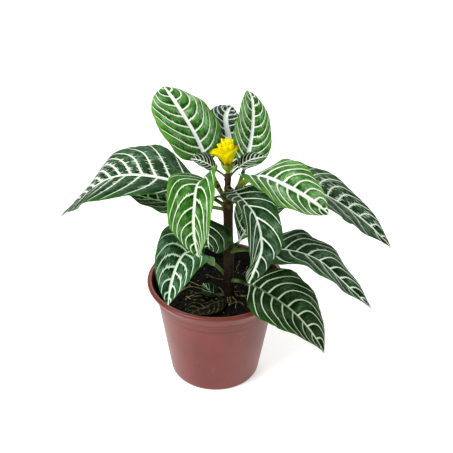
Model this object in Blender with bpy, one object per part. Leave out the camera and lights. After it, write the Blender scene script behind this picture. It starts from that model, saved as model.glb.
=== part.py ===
"""Potted zebra plant: a plastic nursery pot full of soil, and a forked woody stem with sixteen
striped leaves and a yellow flower bud. Metres, +Z up, the origin under the middle of the pot."""
import math

import bpy
import numpy as np

GAP = 0.0003            # clearance between pieces that touch on the real plant

# Pot: a turned wall with a collar and a flared, rolled lip
POT_HEIGHT = 0.095
LIP_RADIUS = 0.060
MOUTH_RADIUS = 0.056
BASE_RADIUS = 0.0386
BASE_ROUND = (0.0015, 0.0018)   # how far the rounded foot of the wall reaches out and up
BODY_RADIUS = 0.0512    # where the wall meets the collar
COLLAR_FOOT = 0.0755
COLLAR_STEP = 0.0006
COLLAR_TOP = 0.0835
COLLAR_SPREAD = 0.0012
FLARE_FOOT = (0.0014, 0.0028)   # from the collar's top, out and up
FLARE_TOP = (0.0012, 0.0024)    # from the lip's middle, in and down
LIP_ROLL = 0.0020       # radius of the rolled lip
MOUTH_ROUND = 0.0008
MOUTH_TAPER = (0.0006, 0.0040)  # from the mouth, in and down
WALL = 0.0012
FLOOR = 0.0020
POT_SIDES = 44
DRAIN_HOLES = 4
DRAIN_RADIUS = 0.004
DRAIN_CIRCLE = 0.024

# Soil: fills the pot to a little under its mouth, in low lumps
SOIL_TOP = 0.084
SOIL_RINGS = (0.0, 0.0085, 0.0165, 0.025, 0.0335, 0.042, 0.0485)
SOIL_SIDES = 24
SOIL_LUMP = 0.0006
SOIL_MOUND = 0.0008     # rise of the soil round the stem
SOIL_MOUND_REACH = 0.017
STEM_HOLE_DEPTH = 0.034

# Stem: a main shoot, leaning a little, with a short side shoot on each side of its fork
STEM_FOOT = (0.0115, -0.013)
STEM_LEAN = -0.029      # metres of X for each metre of height
STEM_TOP = 0.206
STEM_RADII = ((0.052, 0.0036), (0.082, 0.0050), (0.092, 0.0044), (0.130, 0.0040), (0.165, 0.0039),
              (0.182, 0.0037), (0.192, 0.0026), (0.206, 0.0018))
STEM_SIDES = 12
STEM_HOLE_RADIUS = 0.0050 + GAP
FORK_HEIGHT = 0.178
LEFT_SHOOT_TOP = (-0.0003, -0.0080, 0.1915)
RIGHT_SHOOT_TOP = (0.0175, -0.0120, 0.1925)
SHOOT_RADIUS = 0.0020

# Leaf section: the blade is a folded, curled sheet with a rib under its middle
BLADE_THICKNESS = 0.0007
RIB_DEPTH = 0.0016
STALK_RADIUS = 0.0016
STUB_REACH = 0.0012     # how far a leaf's cushion stands out of the bark
STUB_SWELL = (1.5, 1.4, 1.1)    # its radii, as shares of the stalk's
BLADE_RINGS = 14
STALK_RINGS = 3
ACROSS = (-1.0, -0.62, -0.14, 0.0, 0.14, 0.62, 1.0)
TIP_HALF_WIDTH = 0.0005
OUTLINE = (0.75, 1.05)  # a and b of the blade's outline, t^a (1 - t)^b
WAVES = 3.5             # ruffles along one margin
LEFT_WAVE_SHIFT = 0.3   # how far the left margin's ruffles run ahead of the right one's, in waves
SMALL_BLADE = 0.045     # shorter blades have thinner stalks and fewer rings

# Leaves. Each grows from a shoot at a height. Angles are in degrees, at evenly spaced keys along stalk
# and blade: head is the compass direction (0 is +X, 90 is +Y), pitch is the climb, and roll lifts the
# half to the right of the leaf's direction. fold and curl shape the blade's left and right halves:
# fold lifts them from the rib, curl bends their margins back down. wave ruffles the margins.
LEAVES = {
    "leaf_crown_left": dict(
        shoot="left", height=0.1900, stalk=0.016, blade=0.083, width=0.063,
        head=(126, 132, 112), pitch=(46, 48, 29, 1), roll=(-13, -9, 4),
        fold=(11, 11), curl=(21, 23), wave=0.0010, outline=(0.48, 0.86)),
    "leaf_crown_right": dict(
        shoot="right", height=0.1900, stalk=0.016, blade=0.087, width=0.037,
        head=(72, 82, 108), pitch=(27, 27, 46, -14), roll=(-10, -29, -14),
        fold=(24, 13), curl=(16, 23), wave=0.0008, outline=(0.73, 1.20)),
    "leaf_crown_back": dict(
        shoot="main", height=0.1840, stalk=0.016, blade=0.115, width=0.038,
        head=(86, 98, 74), pitch=(30, 20, -5, -11), roll=(-6, -13),
        fold=(18, 13), curl=(6, 18), wave=0.0010, outline=(0.78, 1.04)),
    "leaf_left_long": dict(
        shoot="main", height=0.1740, stalk=0.016, blade=0.160, width=0.090,
        head=(172, 153, 166), pitch=(31, 7, -19, -49, -43), roll=(-7, 9, 18, 2),
        fold=(20, 7), curl=(15, 18), wave=0.0012, outline=(0.94, 1.06)),
    "leaf_left_under": dict(
        shoot="main", height=0.1715, stalk=0.015, blade=0.072, width=0.049,
        head=(158, 166, 166, 154), pitch=(-2, -6, 5, 4), roll=(12, -9),
        fold=(20, 18), curl=(14, 16), wave=0.0010),
    "leaf_front_left": dict(
        shoot="left", height=0.1910, stalk=0.008, blade=0.103, width=0.044,
        head=(238, 268, 232), pitch=(44, 11, -96, -110), roll=(-26, -12, 2),
        fold=(34, 30), curl=(0, -3), wave=0.0008, outline=(0.68, 0.96)),
    "leaf_low_left": dict(
        shoot="main", height=0.1035, stalk=0.021, blade=0.072, width=0.056,
        head=(150, 244, 251), pitch=(36, 39, -42, -80), roll=(5, 3, 1),
        fold=(16, 39), curl=(3, -2), wave=0.0010, outline=(0.23, 0.98)),
    "leaf_right_bright": dict(
        shoot="right", height=0.1910, stalk=0.008, blade=0.075, width=0.059,
        head=(-34, -20, -2), pitch=(58, -9, -26, -43), roll=(31, -11, -36),
        fold=(17, 19), curl=(15, 14), wave=0.0010, outline=(0.34, 0.86)),
    "leaf_right_long": dict(
        shoot="main", height=0.1760, stalk=0.018, blade=0.165, width=0.062,
        head=(17, 33, -18), pitch=(35, -29, -40, -45), roll=(-5, -15, -7),
        fold=(19, 12), curl=(11, 18), wave=0.0012, outline=(1.00, 1.20)),
    "leaf_front_right": dict(
        shoot="main", height=0.1930, stalk=0.008, blade=0.121, width=0.037,
        head=(-69, -65, -70), pitch=(16, -3, -116, -116), roll=(-10, 20, 18, 1),
        fold=(32, 15), curl=(0, 0), wave=0.0010, outline=(0.34, 0.80)),
    "leaf_back_right": dict(
        shoot="main", height=0.1300, stalk=0.010, blade=0.077, width=0.042,
        head=(60, 57, 30), pitch=(0, 44, -12, -18), roll=(-5, 0),
        fold=(19, 18), curl=(13, 14), wave=0.0010, outline=(1.3, 1.05)),
    "leaf_low_right": dict(
        shoot="main", height=0.1310, stalk=0.024, blade=0.109, width=0.065,
        head=(-33, -13, -39), pitch=(28, 10, -39, -23), roll=(-29, 4, 17),
        fold=(11, 19), curl=(21, 10), wave=0.0014, outline=(0.77, 1.09)),
    "leaf_low_front": dict(
        shoot="main", height=0.1020, stalk=0.014, blade=0.088, width=0.066,
        head=(-36, -20, -46), pitch=(17, -21, -38, -46), roll=(-35, 25),
        fold=(18, 17), curl=(13, 13), wave=0.0008),
    "leaf_front_inner": dict(
        shoot="main", height=0.1772, stalk=0.029, blade=0.028, width=0.047,
        head=(215, 256, 230), pitch=(52, -90, -75, -110), roll=(2, -2),
        fold=(17, 16), curl=(10, 12), wave=0.0014, outline=(0.44, 0.73)),
    "leaf_small_left": dict(
        shoot="main", height=0.2015, stalk=0.006, blade=0.024, width=0.020,
        head=(188, 188, 181), pitch=(40, 43, 25, 0), roll=(11, 18),
        fold=(15, 14), curl=(7, 8), wave=0.0003),
    "leaf_small_right": dict(
        shoot="main", height=0.2010, stalk=0.006, blade=0.025, width=0.016,
        head=(14, 14, 13), pitch=(46, 38, 8, 8), roll=(-15, -8),
        fold=(16, 19), curl=(6, 4), wave=0.0003),
}

# The withered leaf that lies on the soil in front of the stem
OLD_LEAF_FOOT = (0.0085, -0.0195)
OLD_LEAF = dict(blade=0.040, width=0.031, head=(205, 216, 228), lift=0.0006, curl_up=0.0030)
OLD_LEAF_RINGS = 12

# Flower bud: four rows of boat-shaped bracts, green ones below and yellow ones above
GREEN_FOOT = STEM_TOP + GAP
GREEN_CORE = ((0.0000, 0.0016), (0.0022, 0.0020), (0.0040, 0.0022))
GREEN_BRACTS = (
    dict(head=-95, rise=0.0016, length=0.0108, width=0.0080, pitch=(42, 66, 84)),
    dict(head=-5, rise=0.0016, length=0.0100, width=0.0072, pitch=(42, 66, 84)),
    dict(head=85, rise=0.0016, length=0.0102, width=0.0072, pitch=(42, 66, 84)),
    dict(head=175, rise=0.0016, length=0.0084, width=0.0068, pitch=(40, 62, 82)),
)
YELLOW_FOOT = GREEN_FOOT + 0.0044
YELLOW_CORE = ((0.0000, 0.0017), (0.0035, 0.0030), (0.0085, 0.0046), (0.0140, 0.0052), (0.0200, 0.0044),
               (0.0240, 0.0022))
YELLOW_BRACTS = (
    dict(head=180, rise=0.0030, length=0.0168, width=0.0150, pitch=(62, 36, 12)),
    dict(head=2, rise=0.0035, length=0.0166, width=0.0145, pitch=(74, 70, 56)),
    dict(head=-98, rise=0.0030, length=0.0180, width=0.0145, pitch=(74, 80, 82)),
    dict(head=92, rise=0.0040, length=0.0165, width=0.0145, pitch=(74, 80, 84)),
    dict(head=150, rise=0.0080, length=0.0125, width=0.0130, pitch=(66, 56, 44)),
    dict(head=28, rise=0.0090, length=0.0128, width=0.0125, pitch=(82, 86, 90)),
    dict(head=-52, rise=0.0090, length=0.0135, width=0.0120, pitch=(76, 82, 88)),
    dict(head=-140, rise=0.0080, length=0.0140, width=0.0120, pitch=(70, 68, 62)),
    dict(head=165, rise=0.0140, length=0.0107, width=0.0100, pitch=(80, 78, 76)),
    dict(head=-95, rise=0.0150, length=0.0095, width=0.0095, pitch=(84, 88, 92)),
)
BRACT_THICKNESS = 0.0009
BRACT_FOLD = (24, 24)
BRACT_CURL = (-40, -40) # cupped, so against the curl of a leaf
BRACT_OUTLINE = (0.7, 0.8)
BRACT_START = 0.05      # where along its outline a bract leaves the core
BRACT_ROOT = 0.6        # depth of its root, as a share of the core's radius
BRACT_ACROSS = (-1.0, -0.5, 0.0, 0.5, 1.0)
BRACT_RINGS = 6

# Colours, linear: base colour, roughness, metallic
MATERIALS = {
    "pot_plastic": ((0.300, 0.105, 0.085, 1.0), 0.42, 0.0),
    "soil": ((0.012, 0.009, 0.007, 1.0), 0.95, 0.0),
    "bark": ((0.050, 0.032, 0.020, 1.0), 0.75, 0.0),
    "leaf_young": ((0.080, 0.220, 0.060, 1.0), 0.45, 0.0),
    "leaf_old": ((0.030, 0.085, 0.040, 1.0), 0.40, 0.0),
    "leaf_withered": ((0.020, 0.022, 0.012, 1.0), 0.80, 0.0),
    "bract_yellow": ((0.800, 0.640, 0.010, 1.0), 0.50, 0.0),
    "bract_green": ((0.230, 0.340, 0.040, 1.0), 0.50, 0.0),
}
YOUNG_LEAVES = ("leaf_crown_left", "leaf_crown_right", "leaf_front_left", "leaf_right_bright",
                "leaf_small_left", "leaf_small_right")


def material(name):
    """The named finish, made once."""
    if name in bpy.data.materials:
        return bpy.data.materials[name]
    colour, roughness, metallic = MATERIALS[name]
    made = bpy.data.materials.new(name)
    made.use_nodes = True
    shader = made.node_tree.nodes["Principled BSDF"]
    shader.inputs["Base Color"].default_value = colour
    shader.inputs["Roughness"].default_value = roughness
    shader.inputs["Metallic"].default_value = metallic
    made.diffuse_color = colour
    return made


def finish_mesh(mesh, finish, sharp_angle):
    """Gives a mesh its material and smooth shading, but for edges over an angle in degrees."""
    mesh.shade_smooth()
    mesh.set_sharp_from_angle(angle=math.radians(sharp_angle))
    mesh.materials.clear()
    mesh.materials.append(material(finish))


def solid(name, verts, faces, finish, sharp_angle=40):
    """A mesh object from points in metres."""
    mesh = bpy.data.meshes.new(name)
    mesh.from_pydata([tuple(point) for point in verts], [], faces)
    finish_mesh(mesh, finish, sharp_angle)
    made = bpy.data.objects.new(name, mesh)
    bpy.context.scene.collection.objects.link(made)
    return made


def cut(target, cutter, name):
    """Takes a cutter, which isn't part of the model, out of a solid."""
    cutter.hide_render = True
    cutter.display_type = "WIRE"
    made = target.modifiers.new(name, "BOOLEAN")
    made.operation = "DIFFERENCE"
    made.object = cutter


def joined(name, pieces, finish):
    """One solid from overlapping closed pieces, all united with the first one."""
    group = bpy.data.collections.new(name + "_pieces")
    bpy.context.scene.collection.children.link(group)
    body = pieces[0]
    for piece in pieces[1:]:
        bpy.context.scene.collection.objects.unlink(piece)
        group.objects.link(piece)
    union = body.modifiers.new("Union", "BOOLEAN")
    union.operation = "UNION"
    union.solver = "MANIFOLD"
    union.operand_type = "COLLECTION"
    union.collection = group
    graph = bpy.context.evaluated_depsgraph_get()
    mesh = bpy.data.meshes.new_from_object(body.evaluated_get(graph))
    finish_mesh(mesh, finish, 40)
    body.modifiers.clear()
    body.data = mesh
    for piece in list(group.objects):
        bpy.data.objects.remove(piece)
    bpy.data.collections.remove(group)
    body.name = name
    return body


def turned(profile, sides):
    """Points and faces of a profile of (radius, height) turned round Z. It starts on the axis, runs
    out and round, and ends on the axis."""
    angles = np.arange(sides) * 2 * math.pi / sides
    verts = [(0.0, 0.0, profile[0][1])]
    for radius, height in profile[1:-1]:
        verts += [(radius * math.cos(angle), radius * math.sin(angle), height) for angle in angles]
    verts.append((0.0, 0.0, profile[-1][1]))
    rings = len(profile) - 2
    faces = []
    for k in range(sides):
        n = (k + 1) % sides
        faces.append((0, 1 + n, 1 + k))
        for ring in range(rings - 1):
            low = 1 + ring * sides
            high = low + sides
            faces.append((low + k, low + n, high + n, high + k))
        last = 1 + (rings - 1) * sides
        faces.append((last + k, last + n, len(verts) - 1))
    return verts, faces


def arc(centre, radius, start, end, steps):
    """Points of a circular arc in the (radius, height) plane, angles in degrees."""
    turns = np.radians(np.linspace(start, end, steps))
    return [(centre[0] + radius * math.cos(turn), centre[1] + radius * math.sin(turn)) for turn in turns]


def rod(name, points, radii, sides, finish):
    """A round closed rod through points, its rings square to its path."""
    points = np.array(points, float)
    forward = np.gradient(points, axis=0)
    forward /= np.linalg.norm(forward, axis=1)[:, None]
    turns = np.arange(sides) * 2 * math.pi / sides
    verts = []
    for centre, radius, ahead in zip(points, radii, forward):
        side = np.cross(ahead, (0.0, 1.0, 0.02))
        side /= np.linalg.norm(side)
        front = np.cross(ahead, side)
        verts += [centre + radius * (math.cos(turn) * side + math.sin(turn) * front) for turn in turns]
    verts += [points[0], points[-1]]
    last = (len(points) - 1) * sides
    faces = []
    for k in range(sides):
        n = (k + 1) % sides
        faces.append((len(verts) - 2, n, k))
        for low in range(0, last, sides):
            faces.append((low + k, low + n, low + sides + n, low + sides + k))
        faces.append((len(verts) - 1, last + k, last + n))
    return solid(name, verts, faces, finish)


def sheet(name, top, bottom, finish):
    """A closed sheet between two equal grids of points, cut into like triangles on both faces."""
    count, wide = top.shape[:2]
    verts = list(top.reshape(-1, 3)) + list(bottom.reshape(-1, 3))
    low = count * wide
    faces = []
    for i in range(count - 1):
        left = i * wide
        right = left + wide - 1
        for a in range(left, right):
            b, c, d = a + 1, a + wide + 1, a + wide
            faces += [(a, b, c), (a, c, d), (low + a, low + c, low + b), (low + a, low + d, low + c)]
        faces.append((left, left + wide, low + left + wide, low + left))
        faces.append((right, low + right, low + right + wide, right + wide))
    far = (count - 1) * wide
    for j in range(wide - 1):
        faces.append((j, low + j, low + j + 1, j + 1))
        faces.append((far + j, far + j + 1, low + far + j + 1, low + far + j))
    return solid(name, verts, faces, finish, 60)


def keyed(keys, places):
    """Value at each place from 0 to 1, straight between evenly spaced keys."""
    return np.interp(places, np.linspace(0, 1, len(keys)), keys)


def direction(head, pitch):
    """Unit vector of a compass direction and a climb, in degrees."""
    head = np.radians(head)
    pitch = np.radians(pitch)
    return np.stack([np.cos(pitch) * np.cos(head), np.cos(pitch) * np.sin(head), np.sin(pitch)], axis=-1)


def spine(foot, length, leaf, steps=120):
    """Path of a stalk and blade: the run so far, the points, and the section's side and up there."""
    places = np.linspace(0, 1, steps + 1)
    head = keyed(leaf["head"], places)
    forward = direction(head, keyed(leaf["pitch"], places))
    points = np.zeros((steps + 1, 3))
    points[1:] = np.cumsum((forward[1:] + forward[:-1]) / 2 * length / steps, axis=0)
    level = np.stack([np.sin(np.radians(head)), -np.cos(np.radians(head)), 0 * head], axis=-1)
    above = np.cross(level, forward)
    roll = np.radians(keyed(leaf.get("roll", (0, 0)), places))[:, None]
    side = level * np.cos(roll) + above * np.sin(roll)
    return places * length, points + foot, side, above * np.cos(roll) - level * np.sin(roll)


def along(path, stop):
    """Point, side and up of a path at a length of run."""
    run = path[0]
    return [np.array([np.interp(stop, run, values[:, k]) for k in range(3)]) for values in path[1:]]


def outline(t, shape):
    """Half width of a blade at t from base to tip, as a share of its widest: t^a (1 - t)^b."""
    a, b = shape
    widest = a / (a + b)
    t = np.clip(t, 1e-6, 1 - 1e-6)
    return t ** a * (1 - t) ** b / (widest ** a * (1 - widest) ** b)


def section(half, across, leaf):
    """Sideways and upward offsets of a folded and curled half width, and the slope there."""
    right = across > 0
    fold = np.radians(np.where(right, leaf["fold"][1], leaf["fold"][0]))
    curl = np.radians(np.where(right, leaf["curl"][1], leaf["curl"][0]))
    curl = np.where(np.abs(curl) < 1e-3, 1e-3, curl)
    slope = fold - curl * np.abs(across)
    aside = half * (np.sin(fold) - np.sin(slope)) / curl
    lift = half * (np.cos(slope) - np.cos(fold)) / curl
    return np.sign(across) * aside, lift, np.sign(across) * slope


def stalk_radius(leaf):
    return STALK_RADIUS * min(1.0, leaf["blade"] / SMALL_BLADE)


def build_leaf(name, foot, leaf):
    """Stalk and blade as one closed sheet, whose section turns from round to flat along the stalk."""
    stalk, blade = leaf["stalk"], leaf["blade"]
    small = blade < SMALL_BLADE
    path = spine(foot, stalk + blade, leaf)
    stalk_stops = np.linspace(0, stalk, 2 if small else STALK_RINGS, endpoint=False)
    blade_stops = stalk + blade * np.linspace(0, 1, 9 if small else BLADE_RINGS) ** 0.92
    across = np.array(ACROSS)
    turn = np.radians(80) * across
    top, bottom = [], []
    for stop in np.concatenate([stalk_stops, blade_stops]):
        point, side, up = along(path, stop)
        t = float(np.clip((stop - stalk) / blade, 0, 1))
        share = float(outline(t, leaf.get("outline", OUTLINE)))
        aside, lift, slope = section(max(share * leaf["width"] / 2, TIP_HALF_WIDTH), across, leaf)
        waves = WAVES * t + np.where(across > 0, 0.0, LEFT_WAVE_SHIFT)
        lift = lift + leaf["wave"] * share * np.sin(2 * math.pi * waves) * across ** 2
        rib = RIB_DEPTH * (1 - t) ** 1.5 * (across == 0)
        # flatness runs smoothly from 0 near the foot of the stalk to 1 where the blade widens
        flat = float(np.clip((stop - 0.7 * stalk) / (0.3 * stalk + 0.1 * blade), 0, 1))
        flat = flat * flat * (3 - 2 * flat)
        below = lift - BLADE_THICKNESS * np.cos(slope) - rib
        beside = aside + BLADE_THICKNESS * np.sin(slope)
        for rows, sign, x, z in ((top, 1, aside, lift), (bottom, -1, beside, below)):
            x = flat * x + (1 - flat) * stalk_radius(leaf) * np.sin(turn)
            z = flat * z + (1 - flat) * stalk_radius(leaf) * np.cos(turn) * sign
            rows.append(point + x[:, None] * side + z[:, None] * up)
    finish = "leaf_young" if name in YOUNG_LEAVES else "leaf_old"
    return sheet(name, np.array(top), np.array(bottom), finish)


def stem_axis(shoot, height):
    """Middle of a shoot at a height."""
    main = np.array([STEM_FOOT[0] + STEM_LEAN * (height - SOIL_TOP), STEM_FOOT[1], height])
    if shoot == "main":
        return main
    foot = stem_axis("main", FORK_HEIGHT)
    top = np.array(LEFT_SHOOT_TOP if shoot == "left" else RIGHT_SHOOT_TOP)
    return foot + (top - foot) * (height - foot[2]) / (top[2] - foot[2])


def stub_reach(leaf):
    """From the shoot's middle to the end of the cushion that a leaf sits on: the steeper the stalk,
    the further it has to go to leave the shoot."""
    heights, radii = zip(*STEM_RADII)
    radius = np.interp(leaf["height"], heights, radii) if leaf["shoot"] == "main" else SHOOT_RADIUS
    climb = math.radians(leaf["pitch"][0])
    return (radius + STALK_RADIUS * math.sin(climb)) / math.cos(climb) + STUB_REACH


def body_radius(height):
    """Outer radius of the pot's straight wall at a height."""
    slope = (BODY_RADIUS - BASE_RADIUS - BASE_ROUND[0]) / (COLLAR_FOOT - BASE_ROUND[1])
    return BODY_RADIUS - slope * (COLLAR_FOOT - height)


def build_pot():
    collar = BODY_RADIUS + COLLAR_STEP
    collar_top = collar + COLLAR_SPREAD
    lip = (LIP_RADIUS - LIP_ROLL, POT_HEIGHT - LIP_ROLL)
    mouth = (MOUTH_RADIUS + MOUTH_ROUND, POT_HEIGHT - MOUTH_ROUND)
    profile = [(0.0, 0.0), (BASE_RADIUS, 0.0), (BASE_RADIUS + BASE_ROUND[0], BASE_ROUND[1])]
    profile += [(BODY_RADIUS, COLLAR_FOOT), (collar, COLLAR_FOOT + COLLAR_STEP), (collar_top, COLLAR_TOP)]
    profile.append((collar_top + FLARE_FOOT[0], COLLAR_TOP + FLARE_FOOT[1]))
    profile.append((LIP_RADIUS - FLARE_TOP[0], lip[1] - FLARE_TOP[1]))
    profile += arc(lip, LIP_ROLL, -20, 90, 5)
    profile += arc(mouth, MOUTH_ROUND, 90, 180, 3)
    profile.append((MOUTH_RADIUS - MOUTH_TAPER[0], POT_HEIGHT - MOUTH_TAPER[1]))
    profile += [(collar_top - WALL, COLLAR_TOP), (BODY_RADIUS - WALL, COLLAR_FOOT)]
    profile += [(body_radius(FLOOR) - WALL, FLOOR), (0.0, FLOOR)]
    pot = solid("pot", *turned(profile, POT_SIDES), "pot_plastic")
    for k in range(DRAIN_HOLES):
        turn = 2 * math.pi * (k + 0.5) / DRAIN_HOLES
        bpy.ops.mesh.primitive_cylinder_add(vertices=10, radius=DRAIN_RADIUS, depth=4 * FLOOR)
        drill = bpy.context.object
        drill.name = f"drain_drill_{k}"
        drill.location = (DRAIN_CIRCLE * math.cos(turn), DRAIN_CIRCLE * math.sin(turn), 0.0)
        cut(pot, drill, f"Drain {k}")
    return pot


def soil_height(x, y):
    """Top of the soil: low lumps that die away towards the wall, and a mound round the stem."""
    lumps = np.sin(210 * x + 0.6) * np.cos(185 * y - 0.4) + 0.6 * np.sin(95 * x - 130 * y)
    inside = np.clip((SOIL_RINGS[-1] + 0.0015 - np.hypot(x, y)) / 0.02, 0, 1)
    far = np.hypot(x - STEM_FOOT[0], y - STEM_FOOT[1]) / SOIL_MOUND_REACH
    return SOIL_TOP + SOIL_LUMP * lumps * inside + SOIL_MOUND * np.exp(-far ** 2)


def build_soil():
    foot = FLOOR + GAP
    room = WALL + GAP + 0.0002
    shoulder = SOIL_TOP - 0.0012
    profile = [(0.0, foot), (body_radius(foot) - room, foot), (BODY_RADIUS - room, COLLAR_FOOT)]
    profile.append((BODY_RADIUS + COLLAR_STEP + COLLAR_SPREAD - room, shoulder))
    profile += [(radius, SOIL_TOP) for radius in reversed(SOIL_RINGS)]
    verts, faces = turned(profile, SOIL_SIDES)
    raised = [(x, y, float(soil_height(x, y)) if z > shoulder else z) for x, y, z in verts]
    soil = solid("soil", raised, faces, "soil")
    ends = [stem_axis("main", SOIL_TOP - STEM_HOLE_DEPTH), stem_axis("main", SOIL_TOP + 0.006)]
    cut(soil, rod("stem_drill", ends, (STEM_HOLE_RADIUS,) * 2, STEM_SIDES * 2, "soil"), "Stem hole")
    return soil


def build_stem():
    heights, radii = zip(*STEM_RADII)
    pieces = [rod("stem", [stem_axis("main", height) for height in heights], radii, STEM_SIDES, "bark")]
    for shoot, top in (("left", LEFT_SHOOT_TOP), ("right", RIGHT_SHOOT_TOP)):
        middles = [stem_axis(shoot, height) for height in np.linspace(FORK_HEIGHT, top[2], 4)]
        pieces.append(rod(shoot, middles, np.array((1.2, 1.05, 1.0, 1.05)) * SHOOT_RADIUS, 8, "bark"))
    for name, leaf in LEAVES.items():
        middle = stem_axis(leaf["shoot"], leaf["height"])
        end = middle + direction(leaf["head"][0], leaf["pitch"][0]) * stub_reach(leaf)
        radii = stalk_radius(leaf) * np.array(STUB_SWELL)
        pieces.append(rod(name + "_stub", [middle, (middle + end) / 2, end], radii, 8, "bark"))
    return joined("stem", pieces, "bark")


def build_leaves():
    for name, leaf in LEAVES.items():
        ahead = direction(leaf["head"][0], leaf["pitch"][0])
        foot = stem_axis(leaf["shoot"], leaf["height"]) + ahead * (stub_reach(leaf) + GAP)
        build_leaf(name, foot, leaf)


def build_old_leaf():
    """A blade draped on the soil, its margins curled up."""
    t = np.linspace(0, 1, OLD_LEAF_RINGS)[:, None]
    across = np.array(ACROSS)
    head = np.radians(keyed(OLD_LEAF["head"], t))
    step = OLD_LEAF["blade"] / (OLD_LEAF_RINGS - 1)
    share = outline(t, OUTLINE)
    half = np.maximum(OLD_LEAF["width"] / 2 * share, 0.0012)
    x = OLD_LEAF_FOOT[0] + (np.cumsum(np.cos(head), axis=0) - np.cos(head[0])) * step
    y = OLD_LEAF_FOOT[1] + (np.cumsum(np.sin(head), axis=0) - np.sin(head[0])) * step
    x = x + np.sin(head) * half * across
    y = y - np.cos(head) * half * across
    under = soil_height(x, y) + OLD_LEAF["lift"] + OLD_LEAF["curl_up"] * across ** 2 * share
    bottom = np.stack([x, y, under], axis=-1)
    return sheet("old_leaf", bottom + (0, 0, BLADE_THICKNESS), bottom, "leaf_withered")


def build_bract(name, core, foot_height, bract, finish):
    """A boat-shaped bract that springs from a core at its rise."""
    heights, radii = zip(*core)
    base = stem_axis("main", STEM_TOP)
    root = BRACT_ROOT * float(np.interp(bract["rise"], heights, radii))
    foot = np.array([base[0], base[1], foot_height + bract["rise"]]) + direction(bract["head"], 0) * root
    form = dict(head=(bract["head"],) * 2, pitch=bract["pitch"], fold=BRACT_FOLD, curl=BRACT_CURL)
    path = spine(foot, bract["length"], form)
    top, bottom = [], []
    for t in np.linspace(0, 1, BRACT_RINGS):
        point, side, up = along(path, t * bract["length"])
        share = float(outline(BRACT_START + (1 - BRACT_START) * t, BRACT_OUTLINE))
        half = max(bract["width"] / 2 * share, TIP_HALF_WIDTH)
        aside, lift, slope = section(half, np.array(BRACT_ACROSS), form)
        top.append(point + aside[:, None] * side + lift[:, None] * up)
        aside = aside + BRACT_THICKNESS * np.sin(slope)
        lift = lift - BRACT_THICKNESS * np.cos(slope)
        bottom.append(point + aside[:, None] * side + lift[:, None] * up)
    return sheet(name, np.array(top), np.array(bottom), finish)


def build_flower(name, core, foot_height, bracts, finish):
    base = stem_axis("main", STEM_TOP)
    middles = [(base[0], base[1], foot_height + height) for height, radius in core]
    pieces = [rod(name, middles, [radius for height, radius in core], 12, finish)]
    for k, bract in enumerate(bracts):
        pieces.append(build_bract(f"{name}_{k}", core, foot_height, bract, finish))
    return joined(name, pieces, finish)


def main():
    for old in list(bpy.data.objects):
        bpy.data.objects.remove(old)
    build_pot()
    build_soil()
    build_stem()
    build_leaves()
    build_old_leaf()
    build_flower("flower_green_bracts", GREEN_CORE, GREEN_FOOT, GREEN_BRACTS, "bract_green")
    build_flower("flower_yellow_bracts", YELLOW_CORE, YELLOW_FOOT, YELLOW_BRACTS, "bract_yellow")


main()
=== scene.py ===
# Potted zebra plant in a plastic nursery pot: the looks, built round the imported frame
import math

import bpy
import bmesh
import numpy as np
from mathutils import Matrix, Vector


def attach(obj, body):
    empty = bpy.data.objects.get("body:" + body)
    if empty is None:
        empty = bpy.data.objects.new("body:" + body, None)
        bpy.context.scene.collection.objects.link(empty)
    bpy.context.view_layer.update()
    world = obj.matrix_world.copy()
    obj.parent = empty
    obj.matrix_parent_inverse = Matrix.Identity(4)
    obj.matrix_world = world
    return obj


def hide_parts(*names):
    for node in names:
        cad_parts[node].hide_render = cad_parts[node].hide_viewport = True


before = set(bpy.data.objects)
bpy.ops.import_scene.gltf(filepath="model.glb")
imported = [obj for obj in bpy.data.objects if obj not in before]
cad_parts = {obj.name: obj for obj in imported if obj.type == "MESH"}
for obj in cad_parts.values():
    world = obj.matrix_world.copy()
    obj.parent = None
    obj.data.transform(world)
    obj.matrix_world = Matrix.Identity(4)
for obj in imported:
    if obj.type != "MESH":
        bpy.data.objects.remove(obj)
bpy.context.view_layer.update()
print("frame loaded:", len(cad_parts), "nodes")


# Small tools for numbers

def keyed(keys, places):
    # value at each place from 0 to 1, straight between evenly spaced keys
    return np.interp(places, np.linspace(0, 1, len(keys)), keys)


def smoothStep(low, high, x):
    # 0 under low and 1 over high; between them three times the square less twice the cube
    x = np.clip((x - low) / (high - low), 0, 1)
    return x * x * (3 - 2 * x)


def direction(head, pitch):
    # unit vector of a compass direction and a climb, in degrees
    head = np.radians(head)
    pitch = np.radians(pitch)
    return np.stack([np.cos(pitch) * np.cos(head), np.cos(pitch) * np.sin(head), np.sin(pitch)], axis=-1)


def circle(sides):
    # evenly spaced turns round a circle, in radians
    return np.arange(sides) * 2 * math.pi / sides


def polar(radius, turn):
    return radius * np.cos(turn), radius * np.sin(turn)


def bumps(x, y, size, seed):
    # value noise from -1 to 1: random heights on a square lattice of the given cell size, eased between
    cells = 64
    heights = np.random.RandomState(seed).uniform(-1, 1, (cells, cells))
    x = x / size + 1000  # keeps the lattice numbers above 0
    y = y / size + 1000
    i = np.floor(x).astype(int)
    j = np.floor(y).astype(int)
    u = smoothStep(0, 1, x - i)
    v = smoothStep(0, 1, y - j)
    here, beyond = i % cells, (i + 1) % cells
    low = heights[here, j % cells] * (1 - u) + heights[beyond, j % cells] * u
    high = heights[here, (j + 1) % cells] * (1 - u) + heights[beyond, (j + 1) % cells] * u
    return low * (1 - v) + high * v


# Small tools for meshes

def quads(rows, cols, closed):
    # faces of a grid of points numbered row by row; closed joins the last column to the first
    i = np.arange(rows - 1)[:, None]
    j = np.arange(cols if closed else cols - 1)[None, :]
    k = (j + 1) % cols
    row, above = i * cols, (i + 1) * cols
    return np.stack([row + j, row + k, above + k, above + j], axis=-1).reshape(-1, 4)


def addObject(name, data):
    made = bpy.data.objects.new(name, data)
    bpy.context.scene.collection.objects.link(made)
    return made


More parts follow.
